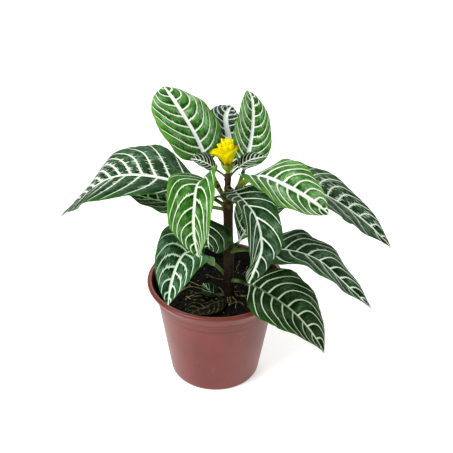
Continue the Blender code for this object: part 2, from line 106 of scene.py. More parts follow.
def skinObject(name, skins, material, smoothAngle=60, weld=1e-6):
    # one mesh from several grids: each skin has points (rows, cols, 3), closed, and tags, floats per point
    points, faces, tags, start = [], [], {}, 0
    for skin in skins:
        rows, cols = skin["points"].shape[:2]
        points.append(skin["points"].reshape(-1, 3))
        faces.append(quads(rows, cols, skin.get("closed", True)) + start)
        for key, values in skin.get("tags", {}).items():
            tags.setdefault(key, []).append(np.broadcast_to(values, (rows, cols)).ravel())
        start += rows * cols
    points = np.concatenate(points)
    faces = np.concatenate(faces)
    mesh = bpy.data.meshes.new(name)
    mesh.vertices.add(len(points))
    mesh.vertices.foreach_set("co", points.astype(np.float32).ravel())
    mesh.loops.add(faces.size)
    mesh.loops.foreach_set("vertex_index", faces.astype(np.int32).ravel())
    mesh.polygons.add(len(faces))
    mesh.polygons.foreach_set("loop_start", np.arange(0, faces.size, 4, dtype=np.int32))
    mesh.update(calc_edges=True)
    for key, values in tags.items():
        layer = mesh.attributes.new(key, "FLOAT", "POINT")
        layer.data.foreach_set("value", np.concatenate(values).astype(np.float32))
    if weld:
        shell = bmesh.new()
        shell.from_mesh(mesh)
        bmesh.ops.remove_doubles(shell, verts=shell.verts, dist=weld)
        bmesh.ops.dissolve_degenerate(shell, edges=shell.edges, dist=weld / 10)
        shell.to_mesh(mesh)
        shell.free()
    mesh.shade_smooth()
    mesh.set_sharp_from_angle(angle=math.radians(smoothAngle))
    mesh.materials.append(material)
    return addObject(name, mesh)


def place(piece, slot, *replaced):
    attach(piece, "root")
    if replaced:
        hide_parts(*replaced)
    print("made", piece.name, len(piece.data.polygons), "faces")
    return piece


def withEnds(values):
    # the first and the last row once more, for the rows that close a skin
    return np.concatenate([values[:1], values, values[-1:]])


def tube(points, radii, sides, tags=None):
    # a round tube through points, closed at both ends by rings that shrink to the path; tags and radii change
    # along it, and radii may change round it too
    points = np.asarray(points, float)
    radii = np.asarray(radii, float)
    forward = np.gradient(points, axis=0)
    forward /= np.linalg.norm(forward, axis=1)[:, None]
    guide = np.array([0.02, 1.0, 0.03]) if abs(forward[:, 1]).max() < 0.9 else np.array([1.0, 0.02, 0.03])
    side = np.cross(forward, guide)
    side /= np.linalg.norm(side, axis=1)[:, None]
    front = np.cross(forward, side)
    if radii.ndim == 1:
        radii = np.repeat(radii[:, None], sides, axis=1)
    radii = np.concatenate([radii[:1] * 0, radii, radii[-1:] * 0])
    turn = circle(sides)[None, :, None]
    ring = np.cos(turn) * withEnds(side)[:, None] + np.sin(turn) * withEnds(front)[:, None]
    tags = {key: withEnds(values)[:, None] for key, values in (tags or {}).items()}
    return dict(points=withEnds(points)[:, None] + radii[:, :, None] * ring, tags=tags)


def turned(profile, sides):
    # a profile of (radius, height) carried round Z
    profile = np.asarray(profile, float)
    x, y = polar(profile[:, 0:1], circle(sides))
    return dict(points=np.stack([x, y, np.repeat(profile[:, 1:2], sides, axis=1)], axis=-1))


def arc(centre, radius, start, end, steps):
    # points of a circular arc in the (radius, height) plane, angles in degrees
    turns = np.radians(np.linspace(start, end, steps))
    return [(centre[0] + radius * math.cos(turn), centre[1] + radius * math.sin(turn)) for turn in turns]


def wrap(high, low):
    # rows of points on a sheet's upper and lower side, made one closed skin: each row runs out above and back
    # below, and a row shrunk to its middle stands at both ends
    loop = np.concatenate([high, low[:, ::-1]], axis=1)
    middle = loop.mean(axis=1, keepdims=True)
    foot, tip = (np.broadcast_to(middle[k], loop[:1].shape) for k in (0, -1))
    return np.concatenate([foot, loop, tip])


def wrapTag(values):
    # a value that both sides of such a sheet share
    return withEnds(np.concatenate([values, values[:, ::-1]], axis=1))


# Small tools for materials

def paint(colour):
    # linear colour of an sRGB one, 0 to 255: the usual curve, a straight foot and a power of 2.4 above it
    channels = np.array(colour) / 255
    linear = np.where(channels <= 0.04045, channels / 12.92, ((channels + 0.055) / 1.055) ** 2.4)
    return (*[float(value) for value in linear], 1.0)


class Wire:
    # one output socket of a node tree; arithmetic on it adds Math nodes
    def __init__(self, tree, socket):
        self.tree = tree
        self.socket = socket

    def node(self, kind, settings=None, inputs=None, output=0):
        made = self.tree.nodes.new(kind)
        for key, value in (settings or {}).items():
            setattr(made, key, value)
        for key, value in (inputs or {}).items():
            if isinstance(value, Wire):
                self.tree.links.new(value.socket, made.inputs[key])
            else:
                made.inputs[key].default_value = value
        return Wire(self.tree, made.outputs[output])

    def maths(self, operation, *values):
        return self.node("ShaderNodeMath", {"operation": operation}, dict(enumerate(values)))

    def __add__(self, other):
        return self.maths("ADD", self, other)

    def __sub__(self, other):
        return self.maths("SUBTRACT", self, other)

    def __mul__(self, other):
        return self.maths("MULTIPLY", self, other)

    def __truediv__(self, other):
        return self.maths("DIVIDE", self, other)

    def __pow__(self, other):
        return self.maths("POWER", self, other)

    def __radd__(self, other):
        return self.maths("ADD", other, self)

    def __rsub__(self, other):
        return self.maths("SUBTRACT", other, self)

    def __rmul__(self, other):
        return self.maths("MULTIPLY", other, self)

    def __rtruediv__(self, other):
        return self.maths("DIVIDE", other, self)

    def __rpow__(self, other):
        return self.maths("POWER", other, self)

    def __abs__(self):
        return self.maths("ABSOLUTE", self)

    def over(self, other):
        return self.maths("MAXIMUM", self, other)

    def rise(self, low, high):
        # 0 under low and 1 over high, eased between; low and high may be wires
        settings = {"interpolation_type": "SMOOTHSTEP"}
        return self.node("ShaderNodeMapRange", settings, {"Value": self, "From Min": low, "From Max": high})

    def noise(self, scale, detail=2.0, rough=0.5, stretch=None):
        # self is a vector; the result runs from 0 to 1 round 0.5
        vector = self.node("ShaderNodeMapping", None, {"Vector": self, "Scale": stretch}) if stretch else self
        inputs = {"Vector": vector, "Scale": scale, "Detail": detail, "Roughness": rough}
        return self.node("ShaderNodeTexNoise", None, inputs)

    def mix(self, low, high):
        # self is the factor between two colours, each a wire or an sRGB triple
        low, high = (value if isinstance(value, Wire) else paint(value) for value in (low, high))
        return self.node("ShaderNodeMix", {"data_type": "RGBA"}, {0: self, 6: low, 7: high}, 2)


class Finish:
    # a Principled material in the making
    def __init__(self, name, **constants):
        self.material = bpy.data.materials.new(name)
        self.material.use_nodes = True
        self.tree = self.material.node_tree
        self.shader = self.tree.nodes["Principled BSDF"]
        for key, value in constants.items():
            self.shader.inputs[key.replace("_", " ")].default_value = value
        self.wire = Wire(self.tree, None)
        self.here = self.wire.node("ShaderNodeTexCoord", None, None, "Object")

    def tags(self, *names):
        # the mesh's own attributes
        kind = "ShaderNodeAttribute"
        return [self.wire.node(kind, {"attribute_name": name}, None, "Fac") for name in names]

    def pack(self, x, y, z):
        return self.wire.node("ShaderNodeCombineXYZ", None, {0: x, 1: y, 2: z})

    def split(self, vector):
        made = vector.node("ShaderNodeSeparateXYZ", None, {0: vector})
        return [Wire(self.tree, output) for output in made.socket.node.outputs]

    def use(self, **wires):
        for key, wire in wires.items():
            self.tree.links.new(wire.socket, self.shader.inputs[key.replace("_", " ")])
        return self.material

    def done(self, colour, roughness, height, strength, distance):
        # height, strength and distance in metres are the bump's
        inputs = {"Height": height, "Strength": strength, "Distance": distance}
        normal = self.wire.node("ShaderNodeBump", None, inputs)
        return self.use(Base_Color=colour, Roughness=roughness, Normal=normal)


# Camera and light: the photo's angle, 453 x 453 pixels

view = dict(target=(0.008, 0.0, 0.1475), distance=0.757, down=32.0, roll=1.2, focalPixels=900.0, frame=453,
            sensor=36.0, near=0.01)


def makeCamera():
    data = bpy.data.cameras.new("photoCamera")
    data.sensor_width = view["sensor"]
    data.lens = view["sensor"] * view["focalPixels"] / view["frame"]
    data.clip_start = view["near"]
    camera = addObject("photoCamera", data)
    down = math.radians(view["down"])
    look = Vector((0, math.cos(down), -math.sin(down)))
    roll = Matrix.Rotation(math.radians(view["roll"]), 4, "Z")
    turn = look.to_track_quat("-Z", "Y").to_matrix().to_4x4() @ roll
    camera.matrix_world = Matrix.Translation(Vector(view["target"]) - look * view["distance"]) @ turn
    bpy.context.scene.camera = camera
    print("camera ready")


studio = dict(
    world=0.36, aim=(0, 0, 0.16), floorReach=4.0, floorDrop=0.0002, floorGlow=0.42,
    floorColours=((245.4, 245.4, 245.4), (247, 247, 247)),
    lamps=[  # place, size, power in watts
        ((-0.9, -0.7, 1.3), 0.9, 29.0),
        ((1.1, -0.5, 0.9), 0.9, 3.5),
        ((0.1, 1.1, 1.2), 1.0, 8.0),
    ],
)


def makeStudio():
    world = bpy.data.worlds.new("studioWorld")
    bpy.context.scene.world = world
    world.use_nodes = True
    world.node_tree.nodes["Background"].inputs["Color"].default_value = (1, 1, 1, 1)
    world.node_tree.nodes["Background"].inputs["Strength"].default_value = studio["world"]
    for k, (spot, size, power) in enumerate(studio["lamps"]):
        data = bpy.data.lights.new(f"softLamp{k}", "AREA")
        data.shape = "DISK"
        data.size = size
        data.energy = power
        made = addObject(f"softLamp{k}", data)
        made.location = spot
        aim = Vector(studio["aim"]) - Vector(spot)
        made.rotation_euler = aim.to_track_quat("-Z", "Y").to_euler()
    glow = dict(Emission_Color=(1, 1, 1, 1), Emission_Strength=studio["floorGlow"])
    finish = Finish("paleFloor", Roughness=0.9, **glow)
    finish.use(Base_Color=finish.here.noise(3.0, 1.0).mix(*studio["floorColours"]))
    x, y = np.meshgrid(*[np.linspace(-studio["floorReach"], studio["floorReach"], 3)] * 2)
    points = np.stack([x, y, 0 * x - studio["floorDrop"]], axis=-1)
    floor = skinObject("floor", [dict(points=points, closed=False)], finish.material, weld=0)
    bpy.context.scene.view_settings.view_transform = "Standard"
    bpy.context.scene.view_settings.look = "None"
    print("studio ready")


# Pot: a moulded nursery pot, one turned wall with a collar and a flared, rolled lip

potForm = dict(
    height=0.095, lipRadius=0.06, mouthRadius=0.056, baseRadius=0.0386, baseRound=(0.0015, 0.0018),
    baseEdge=0.0006, bodyRadius=0.0512, collarFoot=0.0755, collarRound=(0.0004, 0.0001), collarStep=0.0006,
    collarTop=0.0835, collarSpread=0.0012, flareFoot=(0.0014, 0.0028), flareTop=(0.0012, 0.0024),
    lipRoll=0.002, mouthRound=0.0008, mouthTaper=(0.0006, 0.004), wall=0.0012, floor=0.002,
    outerRings=(0.0, 0.012, 0.02, 0.028), innerRings=(0.028, 0.02, 0.0), sides=192, bodySteps=13,
    drainHoles=4, drainRadius=0.004, drainCircle=0.024, drillHalf=0.005, drillSides=40, smoothAngle=32,
    ringHeights=(0.0772, 0.079, 0.0812), ringDepth=0.00012, ringHalf=0.0003,
)


def potMaterial():
    finish = Finish("potPlastic", Specular_IOR_Level=0.34)
    x, y, z = finish.split(finish.here)
    broad = finish.here.noise(26.0, 2.0)
    fine = finish.here.noise(900.0, 2.0)
    streak = finish.here.noise(60.0, 2.0, stretch=(1, 1, 0.06))
    lip = z.rise(0.0875, 0.0915)
    foot = 1 - z.rise(0.0, 0.012)
    # broad random patches of tone, and faint vertical bands of painted shade and highlight down the wall
    colour = (broad * 0.6 + streak * 0.4).rise(0.3, 0.7).mix((102, 40, 33), (118, 50, 43))
    colour = (lip * 0.75).mix(colour, (104, 42, 32))
    colour = (foot * 0.5).mix(colour, (112, 44, 36))
    # the inner face above the peat is darkened by painted shade. It lies nearer the axis than a line up the
    # middle of the wall, which leans out a little in the collar and more in the flare
    middle = (0.0513 + (z - potForm["collarFoot"]) * 0.15).over(0.0524 + (z - potForm["collarTop"]) * 0.62)
    inside = (middle - (x * x + y * y) ** 0.5).rise(0.0, 0.0003)
    inside = inside * z.rise(0.07, 0.075) * (1 - z.rise(0.09, 0.0915))
    colour = inside.mix(colour, (14, 8, 7))
    # painted shade: a dark line in the crease under the collar
    creaseShade = 1 - abs(z - potForm["collarFoot"]).rise(0.0002, 0.0008)
    colour = (creaseShade * 0.5).mix(colour, (60, 24, 20))
    scuffs = finish.here.noise(150.0, 4.0, 0.7, stretch=(1, 1, 0.35)).rise(0.62, 0.72)
    colour = (scuffs * 0.1).mix(colour, (182, 132, 126))
    return finish.done(colour, 0.31 + fine * 0.1 + scuffs * 0.12, fine * 0.5 + streak * 0.3, 0.25, 0.00012)


def makePot():
    # the profile runs from the middle of the underside out, up the outside, over the lip and down the inside
    f = potForm
    collar = f["bodyRadius"] + f["collarStep"]
    collarTop = collar + f["collarSpread"]
    lip = (f["lipRadius"] - f["lipRoll"], f["height"] - f["lipRoll"])
    mouth = (f["mouthRadius"] + f["mouthRound"], f["height"] - f["mouthRound"])
    profile = [(radius, 0.0) for radius in (*f["outerRings"], f["baseRadius"] - f["baseEdge"])]
    profile += arc((f["baseRadius"] - f["baseEdge"], f["baseRound"][1]), f["baseRound"][1], -80, -8, 6)
    foot = (f["baseRadius"] + f["baseRound"][0], f["baseRound"][1] + f["baseEdge"])
    rise = (f["bodyRadius"] - foot[0], f["collarFoot"] - foot[1])
    steps = np.linspace(0, 1, f["bodySteps"] + 1)[1:]
    profile += [(foot[0] + rise[0] * s, foot[1] + rise[1] * s) for s in steps]
    profile.append((f["bodyRadius"] + f["collarRound"][0], f["collarFoot"] + f["collarRound"][1]))
    profile.append((collar, f["collarFoot"] + f["collarStep"]))
    # the collar carries fine moulding rings
    half = f["ringHalf"]
    for height in f["ringHeights"]:
        out = collar + f["collarSpread"] * (height - f["collarFoot"]) / (f["collarTop"] - f["collarFoot"])
        profile += [(out, height - half), (out - f["ringDepth"], height), (out, height + half)]
    profile.append((collarTop, f["collarTop"]))
    profile.append((collarTop + f["flareFoot"][0], f["collarTop"] + f["flareFoot"][1]))
    profile.append((f["lipRadius"] - f["flareTop"][0], lip[1] - f["flareTop"][1]))
    profile += arc(lip, f["lipRoll"], -20, 90, 14)
    profile += arc(mouth, f["mouthRound"], 90, 180, 7)
    profile.append((f["mouthRadius"] - f["mouthTaper"][0], f["height"] - f["mouthTaper"][1]))
    profile += [(collarTop - f["wall"], f["collarTop"]), (f["bodyRadius"] - f["wall"], f["collarFoot"])]
    profile += [(radius, f["floor"]) for radius in (foot[0] - f["wall"], *f["innerRings"])]
    pot = skinObject("potBody", [turned(profile, f["sides"])], potMaterial(), f["smoothAngle"])
    drills = []
    for k in range(f["drainHoles"]):
        spot = polar(f["drainCircle"], 2 * math.pi * (k + 0.5) / f["drainHoles"])
        path = [(*spot, z) for z in (-f["drillHalf"], f["drillHalf"])]
        drill = tube(path, (f["drainRadius"],) * 2, f["drillSides"])
        drills.append(skinObject(f"drainDrill{k}", [drill], pot.data.materials[0]))
        cut = pot.modifiers.new(f"drain{k}", "BOOLEAN")
        cut.operation = "DIFFERENCE"
        cut.object = drills[-1]
    graph = bpy.context.evaluated_depsgraph_get()
    mesh = bpy.data.meshes.new_from_object(pot.evaluated_get(graph))
    pot.modifiers.clear()
    pot.data = mesh
    for drill in drills:
        bpy.data.objects.remove(drill)
    place(pot, "pot_plastic", "pot")


# Stem and where each leaf springs from it

stem = dict(
    foot=(0.0115, -0.013), lean=-0.029, soilTop=0.084, top=0.206, forkHeight=0.178,
    radii=((0.052, 0.0036), (0.082, 0.005), (0.092, 0.0044), (0.13, 0.004), (0.165, 0.0039),
           (0.182, 0.0037), (0.192, 0.0026), (0.206, 0.0018)),  # height, radius
    shootTops=dict(left=(-0.0003, -0.008, 0.1915), right=(0.0175, -0.012, 0.1925)), shootRadius=0.002,
    shootSwell=(1.2, 1.05, 1.0, 1.05), stalkRadius=0.0016, stubReach=0.0012, stubSwell=(1.5, 1.42, 1.2, 1.0),
    gap=0.0003, rings=190, sides=40, shootRings=24, shootSides=24, stubRings=10, stubSides=20,
    barkLump=0.00022, leafRing=(0.00045, 0.0012, 0.0011),  # a ring's rise, drop under the leaf, breadth
    budHeight=0.1745, budShift=(0.0006, -0.0034, 0), budReach=(-0.0006, -0.0016, 0.0058), budRadius=0.0021,
)


def stemAxis(shoot, height):
    # the main stem leans evenly; a side shoot runs straight from the fork to its top
    height = np.asarray(height, float)
    lean = stem["foot"][0] + stem["lean"] * (height - stem["soilTop"])
    main = np.stack([lean, stem["foot"][1] + 0 * height, height], axis=-1)
    if shoot == "main":
        return main
    foot = stemAxis("main", stem["forkHeight"])
    top = np.array(stem["shootTops"][shoot])
    return foot + (top - foot) * ((height - foot[2]) / (top[2] - foot[2]))[..., None]


def stubReach(leaf):
    # from the axis to where a leaf's own stalk starts: past the bark, however steep the stalk is
    thick = np.interp(leaf["height"], *zip(*stem["radii"]))
    radius = thick if leaf["shoot"] == "main" else stem["shootRadius"]
    climb = math.radians(leaf["pitch"][0])
    return (radius + stem["stalkRadius"] * math.sin(climb)) / math.cos(climb) + stem["stubReach"]


# Leaves. Angles are in degrees at evenly spaced keys from the stem to the tip: head is the compass direction,
# pitch the climb, roll lifts the right half. fold and curl are of the left and the right half. veins is how
# many side veins a half has and how they crowd, sweep how far they lean to the tip at once, how far they bend
# to it by the margin and the share of them on a half, each left and right. rib is the white midrib's half
# width at the foot and the tip, vein a side vein's half width and feather its longest teeth, in millimetres.
# start is where the stalk's colour gives way, as a share of the blade.

leafForms = {
    "leaf_crown_left": dict(
        shoot="left", height=0.19, stalk=0.016, blade=0.083, width=0.063,
        head=(126, 132, 112), pitch=(46, 48, 29, 1), roll=(-13, -9, 4),
        fold=(11, 11), curl=(21, 23), wave=0.001, outline=(0.48, 0.86),
        tone="young", veins=(8.4, 1.3), sweep=((0.3, 0.3), (2.5, 3.0), (1, 1)), rib=(2.3, 1.6), vein=0.7),
    "leaf_crown_right": dict(
        shoot="right", height=0.19, stalk=0.016, blade=0.087, width=0.037,
        head=(72, 82, 108), pitch=(27, 27, 46, -14), roll=(-10, -29, -14),
        fold=(24, 13), curl=(16, 23), wave=0.0008, outline=(0.73, 1.2),
        tone="young", veins=(10, 1.25), sweep=((0.3, 0.3), (2.6, 2.6), (1, 1)), rib=(2.0, 1.2), vein=0.6),
    "leaf_crown_back": dict(
        shoot="main", height=0.184, stalk=0.016, blade=0.115, width=0.038,
        head=(86, 98, 74), pitch=(30, 20, -5, -11), roll=(-6, -13),
        fold=(18, 13), curl=(6, 18), wave=0.001, outline=(0.78, 1.04),
        tone="grey", veins=(10, 1.2), sweep=((0.3, 0.3), (2.5, 2.5), (1, 1)), rib=(3.4, 1.6), vein=0.8),
    "leaf_left_long": dict(
        shoot="main", height=0.174, stalk=0.016, blade=0.16, width=0.09,
        head=(172, 153, 166), pitch=(31, 7, -19, -49, -43), roll=(-7, 9, 18, 2),
        fold=(20, 7), curl=(15, 18), wave=0.0012, outline=(0.94, 1.06),
        tone="old", veins=(14, 0.8), sweep=((-0.1, 1.1), (0.5, 1.7), (0.8, 1)), rib=(2.7, 0.3), vein=0.9),
    "leaf_left_under": dict(
        shoot="main", height=0.1715, stalk=0.015, blade=0.072, width=0.049,
        head=(158, 166, 166, 154), pitch=(-2, -6, 5, 4), roll=(12, -9),
        fold=(20, 18), curl=(14, 16), wave=0.001,
        tone="old", veins=(9, 1.2), sweep=((0.4, 0.6), (1.2, 1.2), (0.8, 1)), rib=(0.9, 0.8), vein=0.65),
    "leaf_front_left": dict(
        shoot="left", height=0.191, stalk=0.008, blade=0.103, width=0.044,
        head=(238, 268, 232), pitch=(44, 11, -96, -110), roll=(-26, -12, 2),
        fold=(34, 30), curl=(0, -3), wave=0.0008, outline=(0.68, 0.96),
        tone="lime", veins=(10, 1.15), sweep=((0.6, 0.6), (3.0, 3.0), (1, 1)), rib=(0.8, 1.7), vein=0.62),
    "leaf_low_left": dict(
        shoot="main", height=0.1035, stalk=0.021, blade=0.072, width=0.056,
        head=(150, 244, 251), pitch=(36, 39, -42, -80), roll=(5, 3, 1),
        fold=(16, 39), curl=(3, -2), wave=0.001, outline=(0.23, 0.98),
        tone="mid", veins=(7.6, 1.2), sweep=((0.4, 0.4), (2.2, 2.2), (1, 1)), rib=(1.0, 1.3), vein=0.72),
    "leaf_right_bright": dict(
        shoot="right", height=0.191, stalk=0.008, blade=0.075, width=0.059,
        head=(-34, -20, -2), pitch=(58, -9, -26, -43), roll=(31, -11, -36),
        fold=(17, 19), curl=(15, 14), wave=0.001, outline=(0.34, 0.86), start=0.03,
        tone="young", veins=(9.5, 1.4), sweep=((0.2, 0.2), (2.2, 2.2), (1, 1)), rib=(2.9, 1.8), vein=0.84),
    "leaf_right_long": dict(
        shoot="main", height=0.176, stalk=0.018, blade=0.165, width=0.062,
        head=(17, 33, -18), pitch=(35, -29, -40, -45), roll=(-5, -15, -7),
        fold=(19, 12), curl=(11, 18), wave=0.0012, outline=(1.00, 1.2), feather=3.6,
        tone="old", veins=(13, 1.2), sweep=((0.7, 0.9), (1.8, 1.5), (1, 0.4)), rib=(0.5, 1.4), vein=0.85),
    "leaf_front_right": dict(
        shoot="main", height=0.193, stalk=0.008, blade=0.121, width=0.037,
        head=(-69, -65, -70), pitch=(16, -3, -116, -116), roll=(-10, 20, 18, 1),
        fold=(32, 15), curl=(0, 0), wave=0.001, outline=(0.34, 0.8), feather=0.7,
        tone="old", veins=(13, 1.7), sweep=((1.3, 1.0), (1.6, 2.6), (0.7, 1)), rib=(0.2, 2.0), vein=0.62),
    "leaf_back_right": dict(
        shoot="main", height=0.13, stalk=0.01, blade=0.077, width=0.042,
        head=(60, 57, 30), pitch=(0, 44, -12, -18), roll=(-5, 0),
        fold=(19, 18), curl=(13, 14), wave=0.001, outline=(1.3, 1.05),
        tone="old", veins=(9, 1.2), sweep=((0.5, 0.5), (1.5, 1.5), (1, 1)), rib=(0.8, 0.8), vein=0.6),
    "leaf_low_right": dict(
        shoot="main", height=0.131, stalk=0.024, blade=0.109, width=0.065,
        head=(-33, -13, -39), pitch=(28, 10, -39, -23), roll=(-29, 4, 17),
        fold=(11, 19), curl=(21, 10), wave=0.0014, outline=(0.77, 1.09), feather=1.2,
        tone="old", veins=(11, 1.2), sweep=((0.5, 0.4), (2.2, 1.4), (1, 0.75)), rib=(0.6, 1.2), vein=0.7),
    "leaf_low_front": dict(
        shoot="main", height=0.102, stalk=0.014, blade=0.088, width=0.066,
        head=(-36, -20, -46), pitch=(17, -21, -38, -46), roll=(-35, 25),
        fold=(18, 17), curl=(13, 13), wave=0.0008, feather=0.8,
        tone="dark", veins=(9, 1.4), sweep=((0.2, 0.2), (2.8, 1.8), (1, 1)), rib=(0.8, 1.2), vein=0.72),
    "leaf_front_inner": dict(
        shoot="main", height=0.1772, stalk=0.029, blade=0.028, width=0.047,
        head=(215, 256, 230), pitch=(52, -90, -75, -110), roll=(2, -2),
        fold=(17, 16), curl=(10, 12), wave=0.0014, outline=(0.44, 0.73), feather=0.3,
        tone="dark", veins=(4, 1.2), sweep=((0.2, 0.2), (2.5, 2.5), (1, 1)), rib=(0.5, 0.5), vein=0.3),
    "leaf_small_left": dict(
        shoot="main", height=0.2015, stalk=0.006, blade=0.024, width=0.02,
        head=(188, 188, 181), pitch=(40, 43, 25, 0), roll=(11, 18),
        fold=(15, 14), curl=(7, 8), wave=0.0003,
        tone="bud", veins=(8, 1.2), sweep=((0.6, 0.6), (1.2, 1.2), (1, 1)), rib=(0.5, 0.5), vein=0.3),
    "leaf_small_right": dict(
        shoot="main", height=0.201, stalk=0.006, blade=0.025, width=0.016,
        head=(14, 14, 13), pitch=(46, 38, 8, 8), roll=(-15, -8),
        fold=(16, 19), curl=(6, 4), wave=0.0003,
        tone="bud", veins=(8, 1.2), sweep=((0.6, 0.6), (1.2, 1.2), (1, 1)), rib=(0.5, 0.5), vein=0.3),
}

# leaves on the looks only: a small striped one low on the stem and a scale leaf where the right shoot starts
extraLeaves = dict(
    lowShoot=dict(
        shoot="main", height=0.0866, reach=0.0035, stalk=0.007, blade=0.017, width=0.015,
        head=(200, 168, 136, 128), pitch=(6, 8, 26, 14), roll=(0, 10),
        fold=(16, 16), curl=(12, 12), wave=0.0004, feather=0.1,
        tone="dark", veins=(4, 1), sweep=((3, 3), (3, 3), (1, 1)), rib=(0.3, 0.3), vein=0.2),
    scaleLeaf=dict(
        shoot="right", height=0.195, reach=0.0022, stalk=0.001, blade=0.0125, width=0.01,
        head=(-55, -15), pitch=(55, 30), roll=(10, 10), fold=(24, 24), curl=(10, 10), wave=0.0002,
        tone="scale", veins=(3, 1.0), sweep=((1.0, 1.0), (1.0, 1.0), (1, 1)), rib=(0.2, 0.1), vein=0.1),
)

leafBuild = dict(
    cell=0.00088, stalkCell=0.0011, crowding=0.92, spineSteps=120, outline=(0.75, 1.05), tipHalfWidth=0.0005,
    thickness=0.0007, edgeThickness=0.0003, ribDepth=0.0016, ribBreadth=0.0012, groove=0.0002,
    grooveBreadth=0.0011, stalkTurn=86, smallBlade=0.045, waves=3.5, leftWaveShift=0.3, edgeWave=0.00035,
    edgeWaveCell=0.007, crinkle=0.006, crinkleCell=0.006, quilt=0.0008, fullQuiltGap=0.008, widestGap=0.025,
    sideShift=0.45, start=-0.14, smoothAngle=70,
)


def spine(foot, length, leaf, stops):
    # centre line of a leaf: the way it heads is keyed along it, its points are the running sum of the steps,
    # and side and up turn about it by the keyed roll; given back at the stops
    steps = leafBuild["spineSteps"]
    places = np.linspace(0, 1, steps + 1)
    head = keyed(leaf["head"], places)
    forward = direction(head, keyed(leaf["pitch"], places))
    points = np.zeros((steps + 1, 3))
    points[1:] = np.cumsum((forward[1:] + forward[:-1]) / 2 * length / steps, axis=0)
    level = np.stack([np.sin(np.radians(head)), -np.cos(np.radians(head)), 0 * head], axis=-1)
    above = np.cross(level, forward)
    roll = np.radians(keyed(leaf["roll"], places))[:, None]
    side = level * np.cos(roll) + above * np.sin(roll)
    up = above * np.cos(roll) - level * np.sin(roll)

    def atStops(values):
        return np.stack([np.interp(stops, places * length, values[:, k]) for k in range(3)], axis=-1)

    return atStops(points + foot), atStops(side), atStops(up)


def setOut(point, side, up, x, z):
    # points at x to the side and z up from each point of a centre line
    return point[:, None] + x[..., None] * side[:, None] + z[..., None] * up[:, None]


def outline(t, shape):
    # half width as a share of the widest: t to the a, times 1 - t to the b
    a, b = shape
    widest = a / (a + b)
    t = np.clip(t, 1e-6, 1 - 1e-6)
    return t ** a * (1 - t) ** b / (widest ** a * (1 - widest) ** b)


def section(half, across, leaf):
    # across a blade: it leaves the rib at the fold angle and bends back evenly by the curl angle
    fold = np.radians(np.where(across > 0, leaf["fold"][1], leaf["fold"][0]))
    curl = np.radians(np.where(across > 0, leaf["curl"][1], leaf["curl"][0]))
    curl = np.where(np.abs(curl) < 1e-3, 1e-3, curl)
    slope = fold - curl * np.abs(across)
    aside = half * (np.sin(fold) - np.sin(slope)) / curl
    lift = half * (np.cos(slope) - np.cos(fold)) / curl
    return np.sign(across) * aside, lift, np.sign(across) * slope


def veins(t, across, half, leaf):
    # side veins in the blade's own places. Each leans to the tip by a reach that grows on its way out, evenly
    # and with the fourth power, so the place where it left the rib is t * t / (t + reach). They are counted
    # along the rib, the count growing with a power of that place, and the gap between two of them is one over
    # the slope of the count on the flat blade
    out = np.abs(across)
    lean, bend, share = (np.where(across > 0, right, left) for left, right in leaf["sweep"])
    reach = half / leaf["blade"] * (lean * out + bend * out ** 4)
    t = np.maximum(t, 1e-4)
    root = t * t / (t + reach)
    number, spread = leaf["veins"]
    count = number * share * root ** (1 / spread)
    x = t * leaf["blade"] + 0 * out
    y = half * out
    yAcross = np.gradient(y, axis=1)
    perAcross = np.gradient(count, axis=1) / np.where(np.abs(yAcross) < 1e-7, 1e-7, yAcross)
    perAlong = np.gradient(count, axis=0) - perAcross * np.gradient(y, axis=0)
    perAlong = perAlong / np.maximum(np.gradient(x, axis=0), 1e-5)
    gap = 1 / np.maximum(np.hypot(perAlong, perAcross), 1 / leafBuild["widestGap"])
    return count + np.where(across > 0, leafBuild["sideShift"], 0), gap


